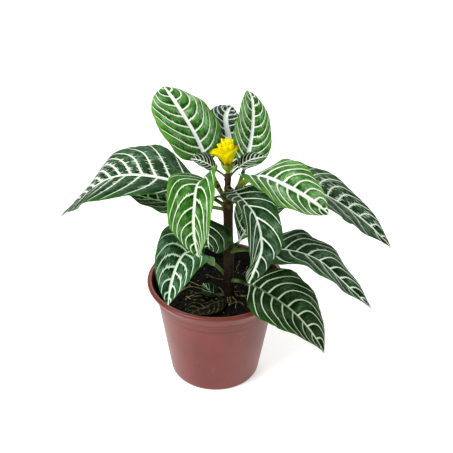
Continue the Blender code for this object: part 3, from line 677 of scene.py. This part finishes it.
def leafSkin(foot, leaf, seed):
    b = leafBuild
    stalk, blade, width = leaf["stalk"], leaf["blade"], leaf["width"]
    stalkStops = np.linspace(0, stalk, max(4, int(stalk / b["stalkCell"])), endpoint=False)
    bladeStops = stalk + blade * np.linspace(0, 1, int(blade / b["cell"])) ** b["crowding"]
    stops = np.concatenate([stalkStops, bladeStops])
    point, side, up = spine(foot, stalk + blade, leaf, stops)
    t = ((stops - stalk) / blade)[:, None]
    tBlade = np.clip(t, 0, 1)
    across = np.linspace(-1, 1, 2 * int(width / b["cell"] / 2) + 1)[None, :]
    out = np.abs(across)
    share = outline(tBlade, leaf.get("outline", b["outline"]))
    half = np.maximum(share * width / 2, b["tipHalfWidth"])
    # the margin is faintly scalloped: a sine with one and a half times the veins' count, and noise
    scallops = np.sin(2 * math.pi * (leaf["veins"][0] * 1.5 * tBlade) + seed + across)
    scallops = scallops + 0.6 * bumps(tBlade * blade + seed, across, b["crinkleCell"], seed + 3)
    aside, lift, slope = section(half * (1 + b["crinkle"] * scallops * out ** 6 * share), across, leaf)
    # the blade waves up and down, more with the square of the way out
    waves = b["waves"] * tBlade + np.where(across > 0, 0.0, b["leftWaveShift"])
    lift = lift + leaf["wave"] * share * np.sin(2 * math.pi * waves) * across ** 2
    ruffle = bumps(tBlade * blade + seed, across * 0.004, b["edgeWaveCell"], seed)
    lift = lift + b["edgeWave"] * share * ruffle * across ** 2
    # it is quilted: it swells between the veins and sinks along them and along the rib
    number, gap = veins(tBlade, across, half, leaf)
    fromRib = out * half
    swell = (1 - np.cos(2 * math.pi * number)) / 2 * smoothStep(0.05, 0.3, out)
    swell = swell * (1 - smoothStep(0.85, 1, out))
    swell = swell * smoothStep(0, 0.08, tBlade) * (1 - smoothStep(0.9, 1, tBlade))
    quilt = b["quilt"] * np.clip(gap / b["fullQuiltGap"], 0.25, 1) * swell
    groove = b["groove"] * np.exp(-(fromRib / b["grooveBreadth"]) ** 2)
    top = lift + quilt - groove * smoothStep(0, 0.1, tBlade)
    # the underside lies the thickness away, square to the slope, and carries the raised midrib
    thick = b["edgeThickness"] + (b["thickness"] - b["edgeThickness"]) * (1 - out ** 4)
    rib = b["ribDepth"] * (1 - tBlade) ** 1.5 * np.exp(-(fromRib / b["ribBreadth"]) ** 2)
    below = lift + quilt * 0.8 - thick * np.cos(slope) - rib
    beside = aside + thick * np.sin(slope)
    # the stalk is round and flattens into the blade
    flat = smoothStep(0, 1, (stops[:, None] - 0.7 * stalk) / (0.3 * stalk + 0.1 * blade))
    stalkRadius = stem["stalkRadius"] * min(1.0, blade / b["smallBlade"])
    turn = np.radians(b["stalkTurn"]) * across
    sheets = []
    for sign, x, z in ((1, aside, top), (-1, beside, below)):
        x = flat * x + (1 - flat) * stalkRadius * np.sin(turn)
        z = flat * z + (1 - flat) * stalkRadius * np.cos(turn) * sign
        sheets.append(setOut(point, side, up, x, z))
    under = np.concatenate([0 * across, 1 + 0 * across], axis=1)
    ribGap = fromRib * 1000 * flat + (1 - flat) * 0.1
    tags = dict(along=wrapTag(t + 0 * across), out=wrapTag(out + 0 * t), veinCount=wrapTag(number),
                under=under, veinGap=wrapTag(gap * 1000), ribGap=wrapTag(ribGap))
    return dict(points=wrap(*sheets), tags=tags)


leafTones = {  # sRGB colours of the blade in its shade, its body and sheen, the margin, veins, rib and stalk
    "young": dict(dark=(20, 68, 4), blade=(74, 128, 52), sheen=(166, 202, 156), edge=(96, 154, 40),
                  vein=(234, 246, 222), rib=(222, 228, 230), stalk=(112, 142, 40), feather=1.3),
    "lime": dict(dark=(12, 56, 0), blade=(54, 110, 32), sheen=(112, 160, 92), edge=(92, 156, 34),
                 vein=(230, 244, 214), rib=(226, 240, 220), stalk=(104, 134, 44), feather=1.1),
    "grey": dict(dark=(6, 24, 8), blade=(26, 56, 32), sheen=(64, 98, 74), edge=(56, 96, 44),
                 vein=(226, 240, 228), rib=(214, 226, 230), stalk=(98, 126, 66), feather=2.4),
    "mid": dict(dark=(16, 44, 18), blade=(48, 88, 54), sheen=(108, 146, 116), edge=(56, 112, 34),
                vein=(214, 234, 208), rib=(200, 222, 192), stalk=(98, 126, 66), feather=1.8),
    "old": dict(dark=(12, 38, 10), blade=(42, 74, 43), sheen=(104, 137, 108), edge=(46, 94, 26),
                vein=(232, 248, 224), rib=(224, 240, 222), stalk=(90, 116, 56), feather=2.6),
    "dark": dict(dark=(10, 33, 6), blade=(37, 61, 32), sheen=(86, 113, 81), edge=(44, 88, 16),
                 vein=(214, 232, 200), rib=(100, 122, 90), stalk=(98, 126, 66), feather=1.6),
    "bud": dict(dark=(8, 30, 10), blade=(22, 54, 26), sheen=(56, 88, 60), edge=(96, 136, 48),
                vein=(228, 240, 222), rib=(228, 240, 222), stalk=(92, 120, 44), feather=0.5),
    "scale": dict(dark=(84, 116, 18), blade=(128, 158, 30), sheen=(158, 182, 66), edge=(150, 176, 50),
                  vein=(160, 180, 70), rib=(160, 180, 80), stalk=(128, 158, 30), feather=0.1, paleBelow=0.1),
}


def leafMaterial(name, leaf):
    c = leafTones[leaf["tone"]]
    finish = Finish(name + "_finish", Specular_IOR_Level=0.03)
    tags = finish.tags("along", "out", "veinCount", "veinGap", "ribGap", "under")
    along, out, count, gap, ribGap, under = tags
    fine = finish.here.noise(1500.0, 2.0, 0.6)
    cloud = finish.here.noise(80.0, 3.0, 0.6)
    patch = finish.here.noise(260.0, 3.0, 0.6)
    # millimetres past the nearest side vein, less than 0 on its foot side; another comb of teeth on each side
    whole = count.maths("ROUND", count)
    past = (count - whole) * gap
    longest = leaf.get("feather", c["feather"])
    lot = whole * 7.3 + past.rise(-0.01, 0.01) * 3.1
    comb = finish.pack(ribGap * (1.2 + 0.8 / longest), lot, past * 0.15).noise(1.0, 0.0, 0.5)
    feather = (comb - abs(past) * (0.2 / longest)).rise(0.49, 0.54) * (1 - out.rise(0.5, 0.9))
    ribTeeth = finish.pack(along * leaf["blade"] * 1400.0, 0.0, out * 0.2).noise(1.0, 2.0, 0.7)
    ribTeeth = ribTeeth.rise(0.45, 0.8)
    start = leaf.get("start", leafBuild["start"])
    isBlade = along.rise(start, start + 0.08)
    half = leaf["vein"] * (1.12 - out * 0.8) * (0.75 + patch * 0.5)
    line = 1 - abs(past).rise(half * 0.6, half * 1.3)
    vein = line.over(feather * 0.9) * (1 - out.rise(0.9, 1.0)) * along.rise(0.0, 0.04)
    ribFoot, ribTip = leaf["rib"]
    ribHalf = (ribFoot + (ribTip - ribFoot) * along) * (1 - along.rise(0.75, 1.02) * 0.75)
    rib = (1 - (ribGap - ribTeeth * 0.9).rise(ribHalf * 0.65, ribHalf * 1.15)) * along.rise(-0.03, 0.03)
    # panels between the veins: painted shade, partly the leaf's own deeper green, by the rib and on each
    # vein's tip side, and a mottled painted sheen between
    mottle = finish.pack(past * 0.45, ribGap * 0.22, whole * 3.7).noise(1.0, 4.0, 0.7)
    streak = finish.pack(past * 0.5, ribGap * 1.1, whole * 3.7).noise(1.0, 3.0, 0.65)
    shade = (1 - (past - half).rise(0.0, gap * 0.45)) * past.rise(-0.3, 0.2)
    nearRib = 1 - (ribGap - ribHalf).rise(0.0, 6.0)
    lit = (0.75 - shade * 0.55 - nearRib * 0.35 + (cloud - 0.5) * 1.6 + (streak - 0.5) * 1.5).rise(0.1, 0.9)
    colour = lit.mix(c["dark"], c["blade"])
    sheen = (mottle + (cloud - 0.5) * 0.8).rise(0.47, 0.78) * (abs(past) / gap).rise(0.08, 0.3)
    sheen = sheen * (0.3 + lit * 0.7)
    colour = (sheen * (0.75 - along.rise(0.6, 0.95) * 0.4)).mix(colour, c["sheen"])
    colour = (out.rise(0.8, 1.0) * 0.6).mix(colour, c["edge"])
    # painted shade: the blade darkens towards its foot
    colour = ((1 - along.rise(0.0, 0.4)) * 0.5).mix(colour, c["dark"])
    colour = vein.mix(colour, (fine * 0.5).mix(c["vein"], [0.86 * v for v in c["vein"]]))
    colour = rib.mix(colour, along.rise(0.15, 0.75).mix(c["rib"], c["vein"]))
    colour = isBlade.mix(c["stalk"], colour)
    lowerSide = cloud.rise(0.3, 0.7).mix((112, 146, 96), (92, 128, 78))
    lowerSide = (vein.over(rib) * 0.6).mix(lowerSide, (170, 192, 144))
    colour = (under * isBlade * c.get("paleBelow", 1.0)).mix(colour, lowerSide)
    roughness = 0.36 + (cloud - 0.5) * 0.2 + vein * 0.15 + under * 0.2
    return finish.done(colour, roughness, fine * 0.6 + streak * 1.2 + vein * 0.5 * (1 - under), 0.5, 0.0003)


def makeLeaves():
    for k, (name, leaf) in enumerate((leafForms | extraLeaves).items()):
        foot = stemAxis(leaf["shoot"], leaf["height"])
        if name in extraLeaves:
            skin = leafSkin(foot + direction(leaf["head"][0], 0) * leaf["reach"], leaf, 20)
        else:
            ahead = direction(leaf["head"][0], leaf["pitch"][0])
            skin = leafSkin(foot + ahead * (stubReach(leaf) + stem["gap"]), leaf, k)
        piece = skinObject(name + "_blade", [skin], leafMaterial(name, leaf), leafBuild["smoothAngle"])
        slot = "leaf_old" if leaf["tone"] in ("mid", "old", "dark") else "leaf_young"
        place(piece, slot, *([] if name in extraLeaves else [name]))


# Soil: dark peat with crumbs, grit and the plant's surface roots

soilForm = dict(
    top=0.084, reach=0.0485, lump=0.0006, mound=0.0008, moundReach=0.017, sides=288, rings=56, crumb=0.00055,
    crumbRoom=(0.005, 0.008),  # how far from the stem's middle the crumbs start and are full
    wall=((0.0, 0.0023), (0.0376, 0.0023), (0.0494, 0.0755), (0.0487, 0.0828)),  # its side: radius, height
    clods=dict(count=240, nearest=0.007, size=(0.0006, 0.0016), seed=5),
    grit=dict(count=70, nearest=0.008, size=(0.0004, 0.0009), seed=6),
    roots=9, rootStart=0.0042, rootLength=(0.008, 0.017), rootPoints=26, rootSides=8,
    fibreRadius=0.00038, fibrePoints=34, fibreSides=6, fibreRise=0.0014,
    fibres=[  # thin dead roots and stalks on the peat: points in millimetres from the pot's middle
        ((-31, -6), (-25, -3), (-18, -1), (-9, -9)), ((-26, -13), (-21, -19), (-14, -21), (-8, -19)),
        ((-24, -25), (-15, -27), (-6, -24), (3, -19)), ((-13, -32), (-8, -31), (-3, -27), (3, -22)),
        ((-26, 7), (-21, 5), (-16, 2), (-10, 1)), ((-9, 19), (-4, 14), (1, 12), (7, 11)),
        ((-26, -18), (-22, -15), (-17, -13), (-11, -13)), ((14, -9), (18, -14), (22, -15), (27, -16)),
        ((11, -26), (15, -24), (20, -23), (25, -27)), ((28, 33), (27, 28), (25, 23), (24, 18)),
        ((22, 42), (20, 38), (19, 33), (18, 28)), ((-20, -8), (-15, -11), (-9, -12), (-3, -16)),
    ],
)


def fromStem(x, y):
    return np.hypot(x - stem["foot"][0], y - stem["foot"][1])


def soilHeight(x, y):
    # low lumps of crossed sines that die away at the wall, and a bell-shaped mound round the stem
    f = soilForm
    lumps = np.sin(210 * x + 0.6) * np.cos(185 * y - 0.4) + 0.6 * np.sin(95 * x - 130 * y)
    inside = np.clip((f["reach"] + 0.0015 - np.hypot(x, y)) / 0.02, 0, 1)
    mound = np.exp(-(fromStem(x, y) / f["moundReach"]) ** 2)
    return f["top"] + f["lump"] * lumps * inside + f["mound"] * mound


def soilMaterial():
    finish = Finish("peat", Specular_IOR_Level=0.06)
    clods = finish.here.noise(420.0, 4.0, 0.65)
    fine = finish.here.noise(1800.0, 2.0, 0.6)
    fibres = finish.here.noise(700.0, 2.0, 0.6, stretch=(1, 0.25, 1))
    colour = clods.rise(0.35, 0.7).mix((5, 4, 3), (19, 16, 13))
    colour = (fine.rise(0.64, 0.74) * 0.6).mix(colour, (84, 80, 72))
    colour = (fibres.rise(0.64, 0.72) * 0.6).mix(colour, (84, 60, 40))
    return finish.done(colour, 0.8 - fine * 0.2, clods + fine * 0.5, 0.7, 0.0006)


def gritMaterial():
    finish = Finish("grit", Specular_IOR_Level=0.3)
    fine = finish.here.noise(900.0, 3.0, 0.6)
    colour = fine.rise(0.35, 0.65).mix((60, 54, 48), (120, 114, 104))
    return finish.use(Base_Color=colour, Roughness=0.75 + fine * 0.1)


def rootMaterial():
    finish = Finish("surfaceRoots", Specular_IOR_Level=0.3)
    patch = finish.here.noise(400.0, 3.0, 0.6)
    colour = patch.rise(0.35, 0.65).mix((88, 80, 44), (146, 134, 82))
    return finish.done(colour, 0.6 + patch * 0.2, patch, 0.5, 0.0002)


def pebbles(places, sizes, seed):
    # small lumps: each a ball of 6 by 4 faces, pushed in and out at random, half sunk in the soil
    random = np.random.RandomState(seed)
    turns = np.linspace(0, 2 * math.pi, 7)[:-1]
    rises = np.linspace(-math.pi / 2, math.pi / 2, 5)
    skins = []
    for spot, size in zip(places, sizes):
        x, y = polar(np.cos(rises)[:, None] * (1 + random.uniform(-0.25, 0.25, (5, 6))), turns)
        z = np.sin(rises)[:, None] * random.uniform(0.6, 1.0) * np.ones((5, 6)) + 0.35
        ball = np.stack([x * random.uniform(0.8, 1.4), y, z], axis=-1)
        skins.append(dict(points=spot + size * ball))
    return skins


def makeSoil():
    # rings round the pot's axis: the height of the lumps and the mound, with crumbs of noise in three sizes
    f = soilForm
    random = np.random.RandomState(4)
    radius = f["reach"] * np.linspace(0, 1, f["rings"])[:, None] ** 0.8
    x, y = polar(radius, circle(f["sides"]))
    room = smoothStep(*f["crumbRoom"], fromStem(x, y)) * (1 - smoothStep(0.9, 1, radius / f["reach"]))
    crumbs = bumps(x, y, 0.0016, 1) + 0.6 * bumps(x, y, 0.0008, 2) + 1.2 * bumps(x, y, 0.005, 3)
    surface = np.stack([x, y, soilHeight(x, y) + f["crumb"] * crumbs * room], axis=-1)
    points = np.concatenate([turned(f["wall"], f["sides"])["points"], surface[::-1]])
    soil = skinObject("peatFill", [dict(points=points)], soilMaterial(), smoothAngle=80)
    place(soil, "soil", "soil")
    for name, material in (("clods", soil.data.materials[0]), ("grit", gritMaterial())):
        kind = f[name]
        far = np.sqrt(random.uniform(0.05, 0.9, kind["count"])) * f["reach"]
        x, y = polar(far, random.uniform(0, 2 * math.pi, kind["count"]))
        keep = fromStem(x, y) > kind["nearest"]
        places = np.stack([x, y, soilHeight(x, y)], axis=-1)[keep]
        skins = pebbles(places, random.uniform(*kind["size"], len(places)), kind["seed"])
        place(skinObject("peat" + name.capitalize(), skins, material, smoothAngle=50), "soil")
    skins = []
    for k in range(f["roots"]):
        # a root leaves the stem and wanders over the soil, half sunk
        along = np.linspace(0, 1, f["rootPoints"])
        heading = 2 * math.pi * k / f["roots"] + random.uniform(-0.3, 0.3)
        bend = heading + random.uniform(-1.1, 1.1) * along + 0.3 * np.sin(along * random.uniform(6, 12))
        steps = polar(random.uniform(*f["rootLength"]) / f["rootPoints"], bend)
        start = polar(f["rootStart"], heading)
        x, y = (stem["foot"][c] + start[c] + np.cumsum(steps[c]) for c in (0, 1))
        radii = (0.0005 * (1 - along) ** 0.7 + 0.00028) * random.uniform(0.7, 1.1)
        rise = 0.0002 + 0.0022 * np.exp(-(along / 0.12) ** 2) - 0.0012 * smoothStep(0.85, 1, along)
        skins.append(tube(np.stack([x, y, soilHeight(x, y) + rise], axis=-1), radii, f["rootSides"]))
    for k, marks in enumerate(f["fibres"]):
        # a smooth cubic through the marks, resting on the peat and dipping into it at both ends
        along = np.linspace(0, 1, f["fibrePoints"])
        cubics = [np.polyfit((0, 1 / 3, 2 / 3, 1), column, 3) for column in zip(*marks)]
        x, y = (np.polyval(cubic, along) / 1000 for cubic in cubics)
        x = x + 0.0004 * np.sin(along * 9 + k)
        ends = smoothStep(0.9, 1, along) + smoothStep(0.9, 1, 1 - along)
        rise = f["fibreRise"] + 0.0003 * np.sin(along * 7 + 2 * k) - 0.0016 * ends
        radii = f["fibreRadius"] * (1.0 + 0.3 * np.sin(along * 5 + k)) * (1 - 0.4 * along)
        skins.append(tube(np.stack([x, y, soilHeight(x, y) + rise], axis=-1), radii, f["fibreSides"]))
    place(skinObject("surfaceRoots", skins, rootMaterial()), "bark")


# Bark: the stem, its side shoots and the cushions that the leaves sit on

def barkMaterial():
    finish = Finish("bark", Specular_IOR_Level=0.15)
    z = finish.split(finish.here)[2]
    cushion = finish.tags("cushion")[0]
    grain = finish.here.noise(700.0, 3.0, 0.6, stretch=(1, 1, 0.15))
    rings = finish.here.noise(120.0, 3.0, 0.6, stretch=(0.3, 0.3, 4))
    young = z.rise(0.15, 0.196)
    patch = grain.rise(0.35, 0.65)
    colour = patch.mix((24, 18, 10), (50, 38, 24))
    colour = (rings.rise(0.58, 0.68) * 0.4).mix(colour, (72, 58, 38))
    colour = (young * 0.85).mix(colour, patch.mix((54, 34, 20), (82, 54, 32)))
    colour = cushion.mix(colour, patch.mix((84, 104, 32), (128, 146, 46)))
    return finish.done(colour, 0.62 + grain * 0.2 - young * 0.15, grain + rings, 0.6, 0.0003)


def makeStem():
    heights, radii = zip(*stem["radii"])
    z = np.linspace(heights[0], heights[-1], stem["rings"])
    turn = circle(stem["sides"])
    # the bark is ribbed by noise drawn out along it and swells into a ring at each leaf
    radius = np.interp(z, heights, radii)[:, None] * (1 + 0 * turn)
    ribs = bumps(6 * np.cos(turn) / 1000 + 0 * z[:, None], z[:, None] * 0.2 + 0.03 * np.sin(turn), 0.0016, 8)
    radius = radius + stem["barkLump"] * ribs
    rise, drop, breadth = stem["leafRing"]
    for leaf in leafForms.values():
        if leaf["shoot"] == "main":
            radius = radius + rise * np.exp(-((z[:, None] - leaf["height"] + drop) / breadth) ** 2)
    skins = [tube(stemAxis("main", z), radius, stem["sides"], dict(cushion=0 * z))]
    for shoot, top in stem["shootTops"].items():
        z = np.linspace(stem["forkHeight"], top[2], stem["shootRings"])
        swell = np.interp(np.linspace(0, 1, len(z)), (0, 0.33, 0.66, 1), stem["shootSwell"])
        tags = dict(cushion=smoothStep(0.184, 0.1905, z))
        skins.append(tube(stemAxis(shoot, z), stem["shootRadius"] * swell, stem["shootSides"], tags))
    for leaf in leafForms.values():
        along = np.linspace(0, 1, stem["stubRings"])
        ahead = direction(leaf["head"][0], leaf["pitch"][0]) * stubReach(leaf)
        path = stemAxis(leaf["shoot"], leaf["height"]) + along[:, None] * ahead
        radius = stem["stalkRadius"] * min(1.0, leaf["blade"] / leafBuild["smallBlade"])
        radius = radius * np.interp(along, (0, 0.5, 0.9, 1), stem["stubSwell"])
        skins.append(tube(path, radius, stem["stubSides"], dict(cushion=0.75 * along)))
    # a dormant bud on the front of the fork
    along = np.linspace(0, 1, 9)
    radii = stem["budRadius"] * np.sin(math.pi * np.clip(along * 0.93 + 0.05, 0, 1)) ** 0.7
    reach = along[:, None] * np.array(stem["budReach"])
    path = stemAxis("main", stem["budHeight"]) + stem["budShift"] + reach
    skins.append(tube(path, radii, 16, dict(cushion=0.2 + 0 * along)))
    place(skinObject("stemBark", skins, barkMaterial()), "bark", "stem")


# Flower bud: a green cup of four bracts below and ten yellow bracts above, each a curled boat on a core

flowerForm = dict(
    greenFoot=0.2063, yellowFoot=0.2107, thickness=0.0009, fold=(24, 24), curl=(-40, -40), outline=(0.7, 0.8),
    start=0.05, root=0.6, tipHalfWidth=0.0005, rings=30, across=17, pleat=0.00012, coreRings=40, coreSides=32,
    # colours of the body, shade, tip and foot, where the tip's colour starts, and its share at the edge
    greenFinish=((150, 168, 44), (116, 146, 32), (110, 62, 34), (128, 158, 40), 0.68, 0.85),
    yellowFinish=((240, 226, 0), (228, 208, 0), (170, 100, 16), (222, 204, 4), 0.84, 0.05),
    greenCore=((0, 0.0016), (0.0022, 0.002), (0.004, 0.0022)),  # rise, radius
    yellowCore=((0, 0.0017), (0.0035, 0.003), (0.0085, 0.0046), (0.014, 0.0052), (0.02, 0.0044),
                (0.024, 0.0022)),
    greenBracts=[  # head, rise on the core, length, width, pitch
        (-95, 0.0016, 0.0108, 0.008, (42, 66, 84)), (-5, 0.0016, 0.01, 0.0072, (42, 66, 84)),
        (85, 0.0016, 0.0102, 0.0072, (42, 66, 84)), (175, 0.0016, 0.0084, 0.0068, (40, 62, 82)),
    ],
    yellowBracts=[
        (180, 0.003, 0.0168, 0.015, (62, 36, 12)), (2, 0.0035, 0.0166, 0.0145, (74, 70, 56)),
        (-98, 0.003, 0.018, 0.0145, (74, 80, 82)), (92, 0.004, 0.0165, 0.0145, (74, 80, 84)),
        (150, 0.008, 0.0125, 0.013, (66, 56, 44)), (28, 0.009, 0.0128, 0.0125, (82, 86, 90)),
        (-52, 0.009, 0.0135, 0.012, (76, 82, 88)), (-140, 0.008, 0.014, 0.012, (70, 68, 62)),
        (165, 0.014, 0.0107, 0.01, (80, 78, 76)), (-95, 0.015, 0.0095, 0.0095, (84, 88, 92)),
    ],
    ruffles=[  # small bracts that close the top, on the looks only
        (-60, 0.017, 0.0072, 0.007, (80, 86, 92)), (-130, 0.0165, 0.0078, 0.007, (78, 82, 86)),
        (25, 0.017, 0.007, 0.007, (80, 86, 92)), (110, 0.0175, 0.0072, 0.007, (82, 84, 84)),
    ],
)


def bractSkin(core, footHeight, bract, lot):
    # a leaf without a stalk, pleated by a sine across it; lot is how much of the tip's colour it shows
    f = flowerForm
    head, rise, length, width, pitch = bract
    base = stemAxis("main", stem["top"])
    out = f["root"] * np.interp(rise, *zip(*core))
    foot = np.array([base[0], base[1], footHeight + rise]) + direction(head, 0) * out
    t = np.linspace(0, 1, f["rings"])[:, None]
    form = dict(head=(head, head), pitch=pitch, roll=(0, 0), fold=f["fold"], curl=f["curl"])
    point, side, up = spine(foot, length, form, t[:, 0] * length)
    across = np.linspace(-1, 1, f["across"])[None, :]
    share = outline(f["start"] + (1 - f["start"]) * t, f["outline"])
    aside, lift, slope = section(np.maximum(width / 2 * share, f["tipHalfWidth"]), across, form)
    lift = lift + f["pleat"] * np.sin(across * 14) * share
    thick = f["thickness"] * (1 - 0.55 * np.abs(across) ** 4)
    low = (aside + thick * np.sin(slope), lift - thick * np.cos(slope))
    sheets = [setOut(point, side, up, x, z) for x, z in ((aside, lift), low)]
    zero = 0 * (t + across)
    tags = dict(along=wrapTag(t + zero), out=wrapTag(np.abs(across) + zero), lot=wrapTag(zero + lot))
    return dict(points=wrap(*sheets), tags=tags)


def bractMaterial(name, body, shade, tipColour, footColour, tipStart, edge):
    finish = Finish(name, Specular_IOR_Level=0.08)
    along, out, lot = finish.tags("along", "out", "lot")
    cloud = finish.here.noise(260.0, 3.0, 0.6)
    streak = finish.here.noise(900.0, 2.0, 0.6, stretch=(1, 1, 0.2))
    colour = (cloud * 0.6 + streak * 0.4).rise(0.38, 0.62).mix(body, shade)
    colour = (1 - along.rise(0.0, 0.35)).mix(colour, footColour)
    colour = (along.rise(tipStart, 1.0) * lot).mix(colour, tipColour)
    colour = (out.rise(0.75, 1.0) * along.rise(0.2, 0.8) * edge).mix(colour, tipColour)
    return finish.done(colour, 0.45 + streak * 0.15, streak + cloud * 0.5, 0.3, 0.0002)


def makeFlower():
    f = flowerForm
    base = stemAxis("main", stem["top"])
    for colour, more in (("green", []), ("yellow", f["ruffles"])):
        material = bractMaterial("bract" + colour.capitalize(), *f[colour + "Finish"])
        bracts = f[colour + "Bracts"] + more
        core, footHeight = f[colour + "Core"], f[colour + "Foot"]
        heights, radii = zip(*core)
        rise = np.linspace(heights[0], heights[-1], f["coreRings"])
        path = np.stack([base[0] + 0 * rise, base[1] + 0 * rise, footHeight + rise], axis=-1)
        tags = dict(along=0 * rise + 0.4, out=0 * rise, lot=0 * rise)
        skins = [tube(path, np.interp(rise, heights, radii), f["coreSides"], tags)]
        skins += [bractSkin(core, footHeight, bract, 1.0 if k < 2 else 0.1) for k, bract in enumerate(bracts)]
        piece = skinObject(f"flower{colour.capitalize()}", skins, material, smoothAngle=75)
        place(piece, "bract_" + colour, f"flower_{colour}_bracts")


# The withered leaf on the soil

oldLeaf = dict(
    foot=(0.0085, -0.0195), blade=0.04, width=0.031, head=(205, 216, 228), tipHalfWidth=0.0012, lift=0.0006,
    hump=0.0004, curlUp=0.003, thickness=0.0007, crumple=0.0006, rings=60, across=49,
    veins=(8, 1.2), sweep=((0.3, 0.3), (2.0, 2.0), (1, 1)),
)


def witheredMaterial():
    finish = Finish("witheredLeaf", Specular_IOR_Level=0.08)
    out, count, ribGap = finish.tags("out", "veinCount", "ribGap")
    patch = finish.here.noise(300.0, 3.0, 0.6)
    fine = finish.here.noise(1500.0, 2.0, 0.6)
    fromVein = abs(count.maths("PINGPONG", count, 0.5))
    vein = (1 - (fromVein + (fine - 0.5) * 0.3).rise(0.04, 0.16)) * patch.rise(0.4, 0.6)
    rib = 1 - (ribGap + (fine - 0.5)).rise(0.4, 0.9)
    colour = patch.rise(0.35, 0.65).mix((3, 4, 2), (9, 9, 6))
    colour = (vein * 0.8).over(rib * 0.2).mix(colour, (122, 120, 64))
    colour = (out.rise(0.9, 1.0) * 0.25).mix(colour, (60, 52, 32))
    return finish.done(colour, 0.55 + fine * 0.25, patch + vein * 0.5, 0.6, 0.0005)


def makeOldLeaf():
    # rows square to a keyed centre line, laid on the soil's height; the margins curl up with the square of
    # the way out, and noise crumples them
    f = oldLeaf
    t = np.linspace(0, 1, f["rings"])[:, None]
    across = np.linspace(-1, 1, f["across"])[None, :]
    head = np.radians(keyed(f["head"], t))
    step = f["blade"] / (f["rings"] - 1)
    share = outline(t, leafBuild["outline"])
    half = np.maximum(f["width"] / 2 * share, f["tipHalfWidth"])
    cos, sin = np.cos(head), np.sin(head)
    x = f["foot"][0] + (np.cumsum(cos, axis=0) - cos[0]) * step + sin * half * across
    y = f["foot"][1] + (np.cumsum(sin, axis=0) - sin[0]) * step - cos * half * across
    crumple = f["crumple"] * (bumps(x, y, 0.006, 11) + 0.4 * bumps(x, y, 0.003, 12)) * share
    low = soilHeight(x, y) + f["lift"] + f["hump"] * share + f["curlUp"] * across ** 2 * share + crumple
    thick = f["thickness"] * (1 - 0.5 * np.abs(across) ** 4)
    points = wrap(np.stack([x, y, low + thick], axis=-1), np.stack([x, y, low], axis=-1))
    out = np.abs(across)
    count = veins(t, across, half, f)[0]
    tags = dict(out=wrapTag(out + 0 * t), veinCount=wrapTag(count), ribGap=wrapTag(out * half * 1000))
    piece = skinObject("witheredBlade", [dict(points=points, tags=tags)], witheredMaterial(), smoothAngle=75)
    place(piece, "leaf_withered", "old_leaf")


makeCamera()
makeStudio()
makePot()
makeSoil()
makeStem()
makeLeaves()
makeFlower()
makeOldLeaf()
